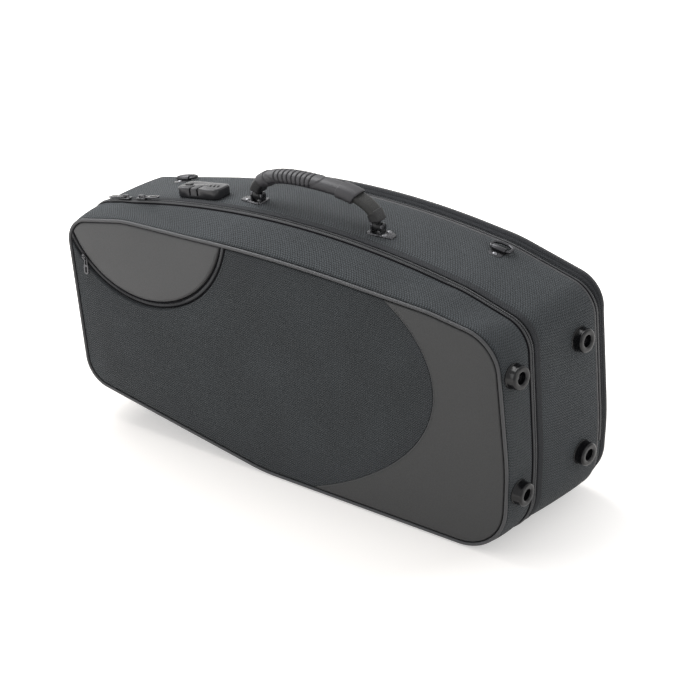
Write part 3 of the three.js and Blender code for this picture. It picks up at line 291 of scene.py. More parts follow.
def running(points, closed=False):
    """Lengths along a line of points from its first point, and for a closed line back to it."""
    line = np.concatenate([points, points[:1]]) if closed else points
    return np.concatenate([[0], np.cumsum(np.linalg.norm(np.diff(line, axis=0), axis=1))])


def shell(grid, wrap_rows=False, wrap_columns=True):
    """A closed body from a grid of points, as points, faces and a UV pair for each corner of a face.
    UV is the length along each row and the length across the rows, in metres. Open ends get a flat
    face."""
    rows, columns = grid.shape[:2]
    r, c = np.meshgrid(
        np.arange(rows if wrap_rows else rows - 1),
        np.arange(columns if wrap_columns else columns - 1), indexing="ij",
    )
    corner_rows = np.stack([r, r, r + 1, r + 1], -1).reshape(-1, 4)
    corner_columns = np.stack([c, c + 1, c + 1, c], -1).reshape(-1, 4)
    quads = (corner_rows % rows) * columns + corner_columns % columns
    along = np.array([running(row, True) for row in grid])[corner_rows % rows, corner_columns]
    across = running(grid[:, columns // 2], True)[corner_rows]
    points = grid.reshape(-1, 3)
    faces = quads.tolist()
    if not wrap_rows:
        faces += [list(range(columns))[::-1], list(range((rows - 1) * columns, rows * columns))]
    if not wrap_columns:
        first = range(0, rows * columns, columns)
        faces += [list(first), [k + columns - 1 for k in first][::-1]]
    ends = sum(len(face) for face in faces[len(quads):])
    uv = np.concatenate([np.stack([along, across], -1).reshape(-1, 2), np.zeros((ends, 2))])
    return outward(points, faces, uv)


def strip(grid):
    """A long body with flat ends, whose rows go round its profile."""
    return shell(grid, True, False)


def outward(points, faces, uv):
    """The body with its faces outwards: where its signed volume is negative, the corners of every
    face, and their UV, are put in the opposite order. The volume is the sum of A . (B x C) over the
    triangles of fans of the faces."""
    fans = [(face[0], b, c) for face in faces for b, c in zip(face[1:-1], face[2:])]
    a, b, c = points[np.array(fans).T]
    if (np.cross(b - a, c - a) * a).sum() > 0:
        return points, faces, uv
    sizes = np.array([len(face) for face in faces])
    starts = np.repeat(np.cumsum(sizes) - sizes, sizes)
    back = 2 * starts + np.repeat(sizes, sizes) - 1 - np.arange(len(uv))
    return points, [face[::-1] for face in faces], uv[back]


def piece(name, shells, material, flat_weave=False):
    """A mesh object of one or more closed bodies. A flat weave lies in the plane of X and Z, and
    its UV is X plus Y and Z plus Y, so that it also runs over edges."""
    starts = np.cumsum([0] + [len(points) for points, _, _ in shells])
    points = np.concatenate([points for points, _, _ in shells])
    bodies = [body for _, body, _ in shells]
    faces = [[k + start for k in face] for body, start in zip(bodies, starts) for face in body]
    uv = np.concatenate([uv for _, _, uv in shells])
    if flat_weave:
        corners = points[np.concatenate([np.array(face) for face in faces])]
        uv = corners[:, [0, 2]] + corners[:, [1]]
    mesh = bpy.data.meshes.new(name)
    mesh.from_pydata(points.tolist(), [], faces)
    mesh.uv_layers.new(name="cloth").data.foreach_set("uv", np.asarray(uv, np.float32).ravel())
    mesh.shade_smooth()
    mesh.set_sharp_from_angle(angle=math.radians(50))
    mesh.materials.append(material)
    return placed(name, mesh)


def fit(obj, body, slot, *nodes):
    """Hangs a piece on its body and hides the CAD nodes that it stands for; its finish's slot is not used.
    """
    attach(obj, body)
    if nodes:
        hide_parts(*nodes)
    return obj


def part(name, shells, material, body, slot, *nodes):
    """A piece that is hung on its body at once."""
    return fit(piece(name, shells, material), body, slot, *nodes)


# Covers of the lid and the base.
# Each half is a board body with foam, covered in ballistic nylon of a basket weave that is sewn at
# the piping and at the zip. Between its seams the cloth bulges a little over the foam.
wall = 10 * mm
piping_radius = 2.3 * mm
front_face = 2 * piping_radius + 0.3 * mm
back_plane = lid_depth + base_depth
back_face = back_plane - piping_radius - 0.3 * mm
nylon_colour, nylon_pitch = (0.038, 0.044, 0.049), 2.3 * mm


def principled(name, colour, roughness, **extras):
    """A material with one Principled shader, given as its tree and that shader."""
    material = bpy.data.materials.new(name)
    tree = emptied(material)
    settings = {"Base Color": (*colour, 1), "Roughness": roughness}
    shader = node(tree, "BsdfPrincipled", settings)
    for label, value in extras.items():
        shader.inputs[label.replace("_", " ")].default_value = value
    node(tree, "OutputMaterial", {"Surface": shader.outputs[0]})
    return material, tree, shader


def shades(tree, shader, colour, amount, spread, height, distance):
    """Darkens and lightens a colour by a pattern from 0 to 1, and raises the surface by a height."""
    dark = [c * (1 - spread) for c in colour]
    light = [c * (1 + spread) for c in colour]
    mix = node(tree, "Mix", {0: amount, 6: (*dark, 1), 7: (*light, 1)}, data_type="RGBA")
    tree.links.new(mix.outputs[2], shader.inputs["Base Color"])
    bump = node(tree, "Bump", {"Height": height, "Distance": distance, "Strength": 1.0})
    tree.links.new(bump.outputs[0], shader.inputs["Normal"])


def cloth_lengths(tree, turn=0.0):
    """Lengths along and across the cloth from its UV map, turned by an angle."""
    place = node(tree, "UVMap", uv_map="cloth").outputs[0]
    if turn:
        turning = {"Vector": place, "Rotation": (0, 0, turn)}
        place = node(tree, "Mapping", turning).outputs[0]
    return node(tree, "SeparateXYZ", {0: place}).outputs[:2]


def noise(tree, scale, detail=3.0):
    place = node(tree, "TexCoord").outputs["Object"]
    settings = {"Vector": place, "Scale": scale, "Detail": detail}
    return node(tree, "TexNoise", settings).outputs[0]


def mixed(tree, *shares):
    """Sum of patterns, each times its own share."""
    total = 0.0
    for pattern, share in shares:
        total = maths(tree, "ADD", maths(tree, "MULTIPLY", pattern, share), total)
    return total


def woven(name, colour, pitch, turn, spread, roughness=0.8):
    """Basket weave: round threads along and across, each over the other by turns. A thread's height
    is the size of a sine of the length across it, and the sign of both sines' product says which
    thread is on top. Noise makes the threads and the cloth's colour uneven."""
    gloss = {"Sheen_Weight": 0.08, "Specular_IOR_Level": 0.35}
    material, tree, shader = principled(name, colour, roughness, **gloss)
    sides = cloth_lengths(tree, turn)
    waves = [maths(tree, "SINE", maths(tree, "MULTIPLY", side, math.pi / pitch)) for side in sides]
    on_top = maths(tree, "GREATER_THAN", maths(tree, "MULTIPLY", *waves), 0.0)
    threads = [maths(tree, "ABSOLUTE", wave) for wave in waves]
    height = node(tree, "Mix", {0: on_top, 2: threads[0], 3: threads[1]}).outputs[0]
    fibre, cloud = noise(tree, 1.1 / pitch), noise(tree, 14.0)
    amount = mixed(tree, (height, 1.1), (fibre, 0.35), (cloud, 0.45), (1.0, -0.6))
    raised_by = mixed(tree, (height, 1.0), (fibre, 0.4))
    shades(tree, shader, colour, amount, spread, raised_by, 0.42 * pitch)
    return material


nylon = woven("ballistic_nylon", nylon_colour, nylon_pitch, math.radians(45), 0.95)


def crowned(first, last, height, steps):
    """A band's profile between two seams: the cloth rises as the square root of a sine, so that it
    leaves each seam steeply and is nearly flat between them."""
    share = np.linspace(0, 1, steps)
    depth = first + (last - first) * share
    return np.stack([depth, height * np.sqrt(np.sin(np.pi * np.clip(share, 0, 1)) + 1e-9) - 0.2 * mm], 1)


hinge_width, hinge_height = 12 * mm, 1 * mm
hinge_low, hinge_high = flat_bottom[0][0] + hinge_end_margin, flat_bottom[1][0] - hinge_end_margin


def recessed(grid):
    """Rings of a cover, raised under the case by the thickness of the hinge strip that lies there."""
    x, y, z = np.moveaxis(grid - case_shift, -1, 0)
    under = (np.abs(y - lid_depth) < hinge_width) & (x > hinge_low) & (x < hinge_high)
    grid[..., 2] = np.where(under & (z < hinge_height), hinge_height + 0.05 * mm, z)
    return grid


lid_rim, base_rim = lid_depth - parting_half, lid_depth + parting_half
# The lid's near-black tape is left bare over a wide strip beside the coil, so that it also stands as
# painted shade in the gap between the lid's rim and the coil.
lid_tape_width, base_tape_width = 5.4 * mm, 15 * mm
for half, face, rim, seam, bulge, steps, side in (
    ("lid", front_face, lid_rim, lid_rim - lid_tape_width, 1.5 * mm, 14, 1),
    ("base", back_face, base_rim, base_rim + base_tape_width, 1.6 * mm, 20, -1),
):
    chamfer = side * 1 * mm
    cover = rings([
        (face, -2 * piping_radius), (face - side * 0.2 * mm, -0.8 * mm),
        *crowned(face, seam, bulge, steps),
        (rim - side * 0.8 * mm, -1.1 * mm), (rim, -1.2 * mm), (rim, -wall + 1 * mm),
        (rim - chamfer, -wall), (face + side * wall + chamfer, -wall), (face + side * wall, -wall - 1 * mm),
    ])
    part(f"{half}_cover", [shell(recessed(cover))], nylon, half, "nylon", f"{half}_shell")


# Piping.
# A soft cord wrapped in pale leatherette is sewn into the seam round the front and round the back.
piping_colour = (0.062, 0.063, 0.067)
cord_radius = 2.0 * mm


def leatherette(name, colour, grain, spread, roughness):
    """Coated cloth: a net of fine creases between small round grains, with faint cloudy wear."""
    material, tree, shader = principled(name, colour, roughness, Specular_IOR_Level=0.4)
    place = node(tree, "TexCoord").outputs["Object"]
    settings = {"Vector": place, "Scale": 1 / grain}
    cells = node(tree, "TexVoronoi", settings, feature="DISTANCE_TO_EDGE")
    crease = maths(tree, "MINIMUM", maths(tree, "MULTIPLY", cells.outputs[0], 4.0), 1.0)
    fine, cloud = noise(tree, 2 / grain), noise(tree, 9.0, 5.0)
    amount = mixed(tree, (crease, 0.3), (fine, 0.3), (cloud, 0.9), (1.0, -0.25))
    raised_by = mixed(tree, (crease, 1.0), (fine, 0.3))
    shades(tree, shader, colour, amount, spread, raised_by, 0.12 * grain)
    rough = mixed(tree, (cloud, 0.25), (crease, -0.08), (1.0, roughness - 0.08))
    tree.links.new(rough, shader.inputs["Roughness"])
    return material


piping_leather = leatherette("piping_leatherette", piping_colour, 0.9 * mm, 0.25, 0.42)


def corded(depth):
    """A round cord in the corner of the case: from a centre line a little inside the skin, the
    cosine of the angle goes outwards and its sine along the depth."""
    angle = np.linspace(0, 2 * np.pi, 14, endpoint=False)
    inner, outer = offset(skin([depth, depth]), np.array([[-2 * cord_radius], [0]]))
    share = (1 + np.cos(angle)[:, None, None]) / 2
    plane = inner + (outer - inner) * share
    return shell(in_case(plane, depth + cord_radius * np.sin(angle)[:, None]), True)


part("front_piping", [corded(piping_radius)], piping_leather, "lid", "piping", "lid_piping")
part("rear_piping", [corded(back_plane)], piping_leather, "base", "piping", "back_piping")

# Padded front.
# The front is three pieces over one foam sheet: a nylon panel, a leatherette flap over the upper
# pocket and a leatherette panel on the big end's side. Each edge is turned in at its seam.
panel_back, panel_thickness = front_face - 0.3 * mm, 3 * mm
panel_crown, crown_width = 2.6 * mm, 30 * mm
ripple_height, ripple_across, ripple_up = 0.12 * mm, 19 * mm, 27 * mm
belly_centre, belly_reach = np.array([105, 95]) * mm, np.array([105, 85]) * mm
pocket_centre = np.array([109 * mm, case_height - 6 * mm])
pocket_radius, pocket_zip_width = 120.5 * mm, 8 * mm
seam_shares = np.array([(0.698, 0.935), (0.917, 0.722), (0.891, 0.266), (0.524, -0.02)])
textile_colour = (0.028, 0.033, 0.037)
flap_colour, leather_colour = (0.072, 0.073, 0.075), (0.047, 0.048, 0.049)


def cross(a, b):
    return a[..., 0] * b[..., 1] - a[..., 1] * b[..., 0]


def subdivided(outline, step):
    """A closed outline whose edges are divided evenly into parts no longer than a step."""
    edge = np.roll(outline, -1, 0) - outline
    parts = np.ceil(np.linalg.norm(edge, axis=1) / step).astype(int)
    which = np.repeat(np.arange(len(outline)), parts)
    share = (np.arange(parts.sum()) - np.repeat(np.cumsum(parts) - parts, parts)) / parts[which]
    return outline[which] + edge[which] * share[:, None]


def crossings(outline, curve):
    """Where a curve first and last crosses an outline, as edge numbers plus shares of the outline
    and of the curve. Two lines P + t R and Q + u S meet at t = (Q - P) x S / (R x S)."""
    edge, step = np.roll(outline, -1, 0) - outline, np.diff(curve, axis=0)
    apart = curve[None, :-1] - outline[:, None]
    turn = cross(edge[:, None], step[None])
    t = cross(apart, step[None]) / np.where(turn == 0, 1, turn)
    u = cross(apart, edge[:, None]) / np.where(turn == 0, 1, turn)
    i, j = np.nonzero((turn != 0) & (t >= 0) & (t < 1) & (u >= 0) & (u < 1))
    order = np.argsort(j + u[i, j])[[0, -1]]
    i, j = i[order], j[order]
    return i + t[i, j], j + u[i, j]


def parted(outline, curve):
    """The two parts of an anticlockwise outline that a curve cuts: on its left and on its right."""
    on_outline, on_curve = crossings(outline, curve)
    number = np.arange(len(curve))
    enter, leave = (curve[int(u)] + (curve[int(u) + 1] - curve[int(u)]) * (u % 1) for u in on_curve)
    inner = np.concatenate([[enter], curve[(number > on_curve[0]) & (number < on_curve[1])], [leave]])
    first, last = np.floor(on_outline).astype(int) + 1
    count = len(outline)
    back = outline[np.arange(last, first + count * (first <= last)) % count]
    ahead = outline[np.arange(first, last + count * (last < first)) % count]
    return np.concatenate([inner, back]), np.concatenate([inner[::-1], ahead])


def distance(points, outline):
    """Least distance from each point to the edges of a closed outline."""
    edge = np.roll(outline, -1, 0) - outline
    away = points[:, None] - outline[None]
    share = np.clip((away * edge).sum(-1) / (edge ** 2).sum(-1), 0, 1)
    return np.linalg.norm(away - share[..., None] * edge, axis=-1).min(1)


def within(points, outline):
    """True for points from which a line along +X crosses the outline an odd number of times."""
    following = np.roll(outline, -1, 0)
    z = points[:, None, 1]
    spans = (outline[:, 1] > z) != (following[:, 1] > z)
    rise = np.where(following[:, 1] == outline[:, 1], 1, following[:, 1] - outline[:, 1])
    place = outline[:, 0] + (following[:, 0] - outline[:, 0]) * (z - outline[:, 1]) / rise
    return (spans & (points[:, None, 0] < place)).sum(1) % 2 == 1


def filled(outline, insets, spacing, guides=()):
    """Points and triangles that fill a plane outline: rows at insets from it, closed guide lines
    whose edges are kept, and a triangular grid in the middle, joined by Delaunay's rule. Insets and
    spacing are in millimetres."""
    insets, spacing = np.array(insets) * mm, spacing * mm
    rows = [offset(outline, -inset) for inset in insets]
    rows = [row[within(row, outline)] for row in rows]
    rows = [row[distance(row, outline) > 0.9 * inset] for row, inset in zip(rows, insets)]
    low, high = outline.min(0), outline.max(0)
    levels = np.arange(low[1], high[1], spacing * 0.87)  # the height of a triangle of even sides
    x, z = np.meshgrid(np.arange(low[0], high[0], spacing), levels)
    x = x + spacing / 2 * (np.arange(len(z))[:, None] % 2)
    middle = np.stack([x.ravel(), z.ravel()], 1)
    middle = middle[within(middle, outline)]
    middle = middle[distance(middle, outline) > insets[-1] + 0.6 * spacing]
    for guide in guides:
        middle = middle[distance(middle, guide) > 0.7 * spacing]
    points = np.concatenate([outline, *guides, *rows, middle]) / mm
    edges, first = [], 0
    for count in map(len, (outline, *guides)):
        edges += [(first + k, first + (k + 1) % count) for k in range(count)]
        first += count
    points, _, faces, *_ = delaunay_2d_cdt([Vector(p) for p in points], edges, [], 1, 1e-5)
    return np.array([tuple(p) for p in points]) * mm, faces


def relief(outline, depths_at, back, insets, spacing, guides=(), lay=in_case, back_outline=None):
    """A closed body over an outline: its face lies at a depth that is a function of the plane's
    points, and its sides run from the face's edge straight to a flat back, which may have its own
    outline. The plane is the case's X and Z, or as given by lay."""
    plane, faces = filled(outline, insets, spacing, guides)
    count, rim = len(plane), len(outline)
    number = np.arange(rim)
    face = np.concatenate([plane, outline if back_outline is None else back_outline])
    depth = np.concatenate([depths_at(plane), np.full(rim, back)])
    points = lay(face, depth)
    following = (number + 1) % rim
    sides = np.stack([number, number + count, following + count, following], 1).tolist()
    faces = [list(f) for f in faces] + sides + [(number + count)[::-1].tolist()]
    return outward(points, faces, np.zeros((sum(len(f) for f in faces), 2)))


def roll(inside, radius):
    """Share of the full height at a distance inside an edge that is rounded by a quarter circle."""
    return np.sqrt(1 - (1 - np.clip(inside / radius, 0, 1)) ** 2)


front_outline = subdivided(offset(skin([piping_radius])[0], -front_face), 4 * mm)


def arc(radius):
    """The lower half of a circle about the pocket's centre."""
    return pocket_centre + radius * wheel(np.linspace(math.pi, 2 * math.pi, 181))


def leather_seam(aside):
    """The seam's cubic Bezier curve, moved to its left."""
    t = np.linspace(0, 1, 121)[:, None]
    a, b, c, d = seam_shares * (case_length, case_height)
    curve = a * (1 - t) ** 3 + 3 * b * t * (1 - t) ** 2 + 3 * c * t ** 2 * (1 - t) + d * t ** 3
    ahead = unit(np.gradient(curve, axis=0))
    return curve + aside * np.stack([-ahead[:, 1], ahead[:, 0]], 1)


def front_panel(name, outline, material, slot, stands_for, puff, lap=0.0, edge=2.2 * mm, sag=0.0):
    """A sewn panel: its face stands in front of its back by its thickness, rolled off at its edge,
    plus the front's crown and its own puff of a height and width, which both rise by one less an
    exponential. Its cloth may lap over the next panel, and bellies out where its pocket is full."""
    outline = subdivided(outline, 3 * mm)

    def face(points):
        own, front = distance(points, outline), distance(points, front_outline)
        crown = panel_crown * (1 - np.exp(-front / crown_width))
        bulge = puff[0] * (1 - np.exp(-own / puff[1]))
        x, z = points.T
        ripple = ripple_height * np.sin(x / ripple_across) * np.sin(z / ripple_up)
        full = (points - belly_centre) / belly_reach
        bulge += ripple + sag * np.exp(-(full ** 2).sum(1)) * np.minimum(1, own / (25 * mm))
        height = 0.5 * mm + roll(own, edge) * (panel_thickness - 0.5 * mm + lap + crown + bulge)
        return panel_back - height

    body = relief(outline, face, panel_back, [0.25, 0.7, 1.4, 2.3, 4], 5)
    panel = piece(name, [body], material, flat_weave=True)
    fit(panel, "lid", slot, stands_for)


textile = woven("front_textile", textile_colour, 2.1 * mm, math.radians(45), 0.98)
flap_leather = leatherette("flap_leatherette", flap_colour, 1.1 * mm, 0.10, 0.55)
panel_leather = leatherette("panel_leatherette", leather_colour, 1.1 * mm, 0.12, 0.55)
zip_room = pocket_zip_width / 2 + 0.3 * mm
flap_outline, _ = parted(front_outline, arc(pocket_radius - zip_room))
_, under_flap = parted(front_outline, arc(pocket_radius + zip_room))
_, textile_outline = parted(under_flap, leather_seam(1.2 * mm))
leather_outline, _ = parted(front_outline, leather_seam(0.0))
front_panel("textile_panel", textile_outline, textile, "nylon", "pocket_panel",
            (0.3 * mm, 9 * mm), edge=1.4 * mm, sag=2.4 * mm)
front_panel("leather_flap", flap_outline, flap_leather, "leather", "pocket_flap", (0.1 * mm, 10 * mm))
front_panel("leather_panel", leather_outline, panel_leather, "leather", "lid_leather_panel",
            (0.5 * mm, 12 * mm), lap=0.6 * mm, edge=1.5 * mm)

# Seams of the front.
# Short running stitches of dark thread hold the turned edges, a few millimetres inside each seam.
stitch_pitch, stitch_length, thread_radius = 3.4 * mm, 2.5 * mm, 0.22 * mm


def grained(name, colour, grain, roughness, spread=0.3, raised=0.25, **extras):
    """A finish with fine uneven grain from two noises: the finer one is raised, and the broader one
    also makes the gloss uneven, as handling does."""
    material, tree, shader = principled(name, colour, roughness, **extras)
    fine, cloud = noise(tree, 1 / grain, 4.0), noise(tree, 60.0, 5.0)
    amount = mixed(tree, (fine, 0.8), (cloud, 0.6), (1.0, -0.2))
    shades(tree, shader, colour, amount, spread, fine, raised * grain)
    rough = mixed(tree, (cloud, 0.2), (fine, 0.06), (1.0, roughness - 0.13))
    tree.links.new(rough, shader.inputs["Roughness"])
    return material


thread = grained("sewing_thread", (0.035, 0.037, 0.041), 0.3 * mm, 0.5)


def stitches(path, outward):
    """Stitches along a line of points. Each is a thin rod of five sides that stands on the cloth by
    half a cosine of its length and thins to its ends by the root of one less the square."""
    lengths = running(path)
    starts = np.arange(stitch_pitch / 2, lengths[-1] - stitch_pitch, stitch_pitch)
    t = np.array([-1, -0.6, 0, 0.6, 1])
    place = starts[:, None] + (t + 1) / 2 * stitch_length
    middle, up = (
        np.stack([np.interp(place, lengths, values) for values in line.T], -1) for line in (path, outward)
    )
    up = unit(up)
    ahead = unit(np.gradient(middle, axis=1))
    side = np.cross(up, ahead)
    angle = angles(5)
    radius = thread_radius * np.sqrt(1.15 - t ** 2)[:, None, None]
    middle = middle + up * (thread_radius * 1.2 * np.cos(np.pi * t / 2))[:, None]
    around = np.cos(angle)[:, None] * side[:, :, None] + np.sin(angle)[:, None] * up[:, :, None]
    grids = middle[:, :, None] + radius * around
    points, faces, uv = shell(grids[0])
    count = len(starts)
    faces = [[k + len(points) * i for k in face] for i in range(count) for face in faces]
    return grids.reshape(-1, 3), faces, np.tile(uv, (count, 1))


def on_front(plane, lift):
    """Points of the front's face, where stitches lie, and the direction out of it."""
    crown = panel_crown * (1 - np.exp(-distance(plane, front_outline) / crown_width))
    points = in_case(plane, panel_back - panel_thickness - crown - lift)
    return points, np.tile([0.0, -1.0, 0.0], (len(plane), 1))


def inside_front(curve, margin):
    return curve[within(curve, front_outline) & (distance(curve, front_outline) > margin)]


stitch_inset = 2.6 * mm
front_seams = [
    (arc(pocket_radius - zip_room - stitch_inset), 0.1 * mm),
    (arc(pocket_radius + zip_room + stitch_inset), 0.2 * mm),
    (leather_seam(stitch_inset), 0.75 * mm),
]
rows = [stitches(*on_front(inside_front(curve, 4 * mm), lift)) for curve, lift in front_seams]
part("front_stitches", rows, thread, "lid", "tape")

# Zip of the upper pocket.
# A woven tape lies sunk between the flap and the textile, with a closed plastic coil on it.
# The tapes' own black is made near black, so that their bared strips also stand as painted shade in the
# gaps beside the coils.
tape_and_gap_shade_colour, coil_colour = (0.008, 0.008, 0.010), (0.026, 0.027, 0.030)
coil_pitch, coil_samples = 2.2 * mm, 5


def herringbone(name, colour, stripe, rib, gloss=0.3):
    """Twill whose ribs lean one way in a stripe and the other way in the next: the phase is the
    length along the tape plus a triangle wave of the length across it."""
    material, tree, shader = principled(name, colour, 0.85, Specular_IOR_Level=gloss)
    along, across = cloth_lengths(tree)
    folded = maths(tree, "PINGPONG", across, stripe)
    phase = maths(tree, "MULTIPLY", maths(tree, "ADD", along, folded), 2 * math.pi / rib)
    height = maths(tree, "MULTIPLY", maths(tree, "ADD", maths(tree, "SINE", phase), 1.0), 0.5)
    fine = noise(tree, 1 / rib)
    amount = mixed(tree, (height, 0.6), (fine, 0.5), (1.0, -0.1))
    shades(tree, shader, colour, amount, 0.4, height, 0.25 * rib)
    return material


tape_cloth = herringbone("zip_tape_twill", tape_and_gap_shade_colour, 2.4 * mm, 1.2 * mm, 0.12)
coil = grained("zip_coil", coil_colour, 0.4 * mm, 0.38, 0.25)


def toothed(length, shift=0.0):
    """Lengths for the rows of a coil, and how far each row stands out: half of one plus the cosine
    of the length over the pitch, so that there is one tooth to a pitch."""
    lengths = np.linspace(0, length, int(length / coil_pitch) * coil_samples)
    return lengths, 0.5 + 0.5 * np.cos(2 * np.pi * (lengths / coil_pitch + shift))


def coiled(low, high, out):
    """The body of a coil: its rows lie between a low and a high profile, by how far each stands out."""
    return strip(low + (high - low) * out[None, :, None])


pocket_zip_start, pocket_zip_end = 3.82, 6.13  # in radians about the pocket's centre
pocket_length = pocket_radius * (pocket_zip_end - pocket_zip_start)
pocket_lengths, pocket_teeth = toothed(pocket_length)


def pocket_band(profile, shares):
    """Rows about the pocket's centre, from a profile in millimetres across the zip and of depth. A
    row's ends are where its own circle crosses the outline of the front."""
    grid = []
    for across, depth in profile:
        radius = pocket_radius + across * mm
        circle = arc(radius)
        _, place = crossings(front_outline, circle)
        start, end = math.pi * (1 + place / (len(circle) - 1))
        plane = pocket_centre + radius * wheel(start + (end - start) * shares)
        grid.append(in_case(plane, depth * mm))
    return np.array(grid)


tape_profile = [(-4, panel_back / mm), (-4, 3.2), (-3.5, 2.7), (-2.2, 2.9),
                (2.2, 2.9), (3.5, 2.7), (4, 3.2), (4, panel_back / mm)]
pocket_tape = pocket_band(tape_profile, np.linspace(0, 1, 120))
part("pocket_zip_tape", [strip(pocket_tape)], tape_cloth, "lid", "tape", "pocket_zip")
low, high = (pocket_band(profile, pocket_lengths / pocket_length) for profile in (
    [(-1.7, 3.1), (-1.5, 2.5), (0, 2.1), (1.5, 2.5), (1.7, 3.1)],
    [(-2, 3.1), (-1.8, 1.9), (0, 1.2), (1.8, 1.9), (2, 3.1)],
))
part("pocket_zip_coil", [coiled(low, high, pocket_teeth)], coil, "lid", "tape")

# Main zip.
# Two black tapes run from the foot of the big end over the top to the heel, each with half of the
# coil at the slit. A broad twill binding covers the seam beside the base's tape.
binding_cloth = herringbone("binding_twill", (0.034, 0.036, 0.040), 4 * mm, 2.6 * mm)
zip_start = 4 * (arc_steps[0] + 2) + straight_steps[0] + 1


def track(depth, columns):
    """A way along the rings: their columns, and the length along the skin at each of them."""
    return columns, running(skin([depth])[0, columns])


zip_track = track(lid_depth, np.append(np.arange(zip_start, len(zip_section)), 0))
zip_lengths = zip_track[1]


def band(profile, lengths, way=zip_track):
    """Rows of a profile of depths and heights over the skin, at lengths along a track."""
    columns, place = way
    rows = rings(profile)[:, columns]
    t = np.interp(lengths, place, np.arange(len(place)))
    i = np.minimum(t.astype(int), len(place) - 2)
    share = (t - i)[None, :, None]
    return rows[:, i] * (1 - share) + rows[:, i + 1] * share


def beside_slit(side, lengths, *profile):
    """Rows beside the slit, from millimetres across the zip and over the skin."""
    return band([(lid_depth + side * across * mm, height * mm) for across, height in profile], lengths)


for name, half, side, shift in (("front", "lid", -1, 0.0), ("main", "base", 1, 0.5)):
    tape = beside_slit(side, zip_lengths, (1.2, -0.9), (1.2, 0.6), (2.8, 0.6), (3.1, -0.5),
                       (5.8, -0.5), (5.8, -0.9))
    part(f"{name}_zip_tape", [strip(tape)], tape_cloth, half, "tape", f"{half}_zip_tape")
    lengths, out = toothed(zip_lengths[-1], shift)
    low = beside_slit(side, lengths, (0.9, 0.5), (1.0, 1.2), (1.6, 1.5), (2.3, 1.3), (2.7, 0.6))
    high = beside_slit(side, lengths, (0.25, 0.5), (0.3, 1.5), (1.2, 2.1), (2.4, 1.8), (2.9, 0.6))
    part(f"{name}_zip_coil", [coiled(low, high, out)], coil, half, "tape")
binding = beside_slit(1, zip_lengths, (5.6, -0.8), (5.6, 0.7), (6.1, 1.1), (14.1, 1.2),
                      (14.6, 0.9), (14.8, 0.3), (14.8, -0.8))
part("base_zip_binding", [strip(binding)], binding_cloth, "base", "tape")

binding_seam, binding_height = base_rim + 12.6 * mm, 1 * mm
low, high = band([(binding_seam, binding_height), (binding_seam, binding_height + 5 * mm)], zip_lengths)
part("main_zip_stitches", [stitches(low, unit(high - low))], thread, "base", "tape")

# Hinge under the case.
# A strip of the same twill is sewn to both halves along the flat bottom. It is one fixed piece here, which
# stays flat as the lid opens.
across = np.concatenate([[-1, -0.98], np.linspace(-0.9, -0.2, 5), np.linspace(-0.15, 0.15, 9),
                         np.linspace(0.2, 0.9, 5), [0.98, 1]]) * hinge_width
thick = hinge_height * roll(hinge_width - np.abs(across), 0.8 * mm)
around = np.concatenate([across, across[::-1]])
height = np.concatenate([hinge_height - 0.7 * thick, np.full(len(across), hinge_height)])
x = np.linspace(hinge_low, hinge_high, 60)
hinge_plane = np.stack(np.broadcast_arrays(x[None], height[:, None] - 0.3 * mm), -1)
hinge_points = in_case(hinge_plane, lid_depth + around[:, None])
hinge_cloth = piece("hinge_cloth", [strip(hinge_points)], tape_cloth)
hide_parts("base_hinge_tape", "lid_hinge_tape")
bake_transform(hinge_cloth)

# Back.
# The back is a flat nylon panel under a gusseted pocket that stops in a rounded edge before the
# small end. The pocket's zip runs in its gusset along the top and down the big end.
back_near, back_thickness = back_face + 0.3 * mm, 4.6 * mm
pocket_near = back_near + back_thickness + 0.3 * mm
rear_inset, gusset_depth, pad_depth = 3 * mm, 8.2 * mm, 17.5 * mm
pad_shoulder, pad_crown, pad_crown_width = 4.5 * mm, 2.4 * mm, 35 * mm
pad_wave, pad_wave_across, pad_wave_up = 0.25 * mm, 31 * mm, 24 * mm
rear_start, rear_corner = 162 * mm, 42 * mm
window_shares = np.array([(0, 0.06), (0.9, -0.5), (0.9, 1.5), (0, 0.955)])
rear_zip_depth = pocket_near + 4.2 * mm

back_outline = subdivided(offset(skin([back_near])[0], -front_face), 8 * mm)
back_rim, back_roll = 0.5 * mm, 2.2 * mm


def back_height(points):
    """Depth of the back's face, which is rolled off at its edge."""
    rolled = roll(distance(points, back_outline), back_roll)
    return back_near + back_rim + rolled * (back_thickness - back_rim)


back_sheet = relief(back_outline, back_height, back_near, [0.4, 1.2, 2.3], 14)
back_piece = piece("nylon_back", [back_sheet], nylon, flat_weave=True)
fit(back_piece, "base", "nylon", "back_panel")

window = window_shares * (case_length, case_height) + (rear_start, 0)
edge = rounded(window, rear_corner, [12, 1, 1, 12], [20, 2, 40, 40])
edge = np.roll(edge, -edge[:, 0].argmax() - 3, 0)
edge = edge[edge[:, 0] < rear_start + 0.85 * case_length]
rear_outline, _ = parted(offset(skin([pocket_near])[0], -rear_inset), edge)
rear_outline = subdivided(rear_outline, 6 * mm)

# The pad flares out over the gusset at the top, less at the end, and draws in underneath: its flare
# is 0.4 mm plus 4.5 mm times the height of the outline's outward direction.
pad_flare = 0.4 * mm + 4.5 * (offset(rear_outline, mm) - rear_outline)[:, 1]
pad_outline = offset(rear_outline, pad_flare)


def pocket_height(points):
    """Depth of the pad's face: a rounded shoulder and a soft crown inside its outline."""
    inside, (x, z) = distance(points, pad_outline), points.T
    wave = pad_wave * np.sin(x / pad_wave_across) * np.sin(z / pad_wave_up)
    crown = (pad_crown + wave) * (1 - np.exp(-inside / pad_crown_width))
    return pocket_near + pad_depth + pad_shoulder * roll(inside, pad_shoulder) + crown


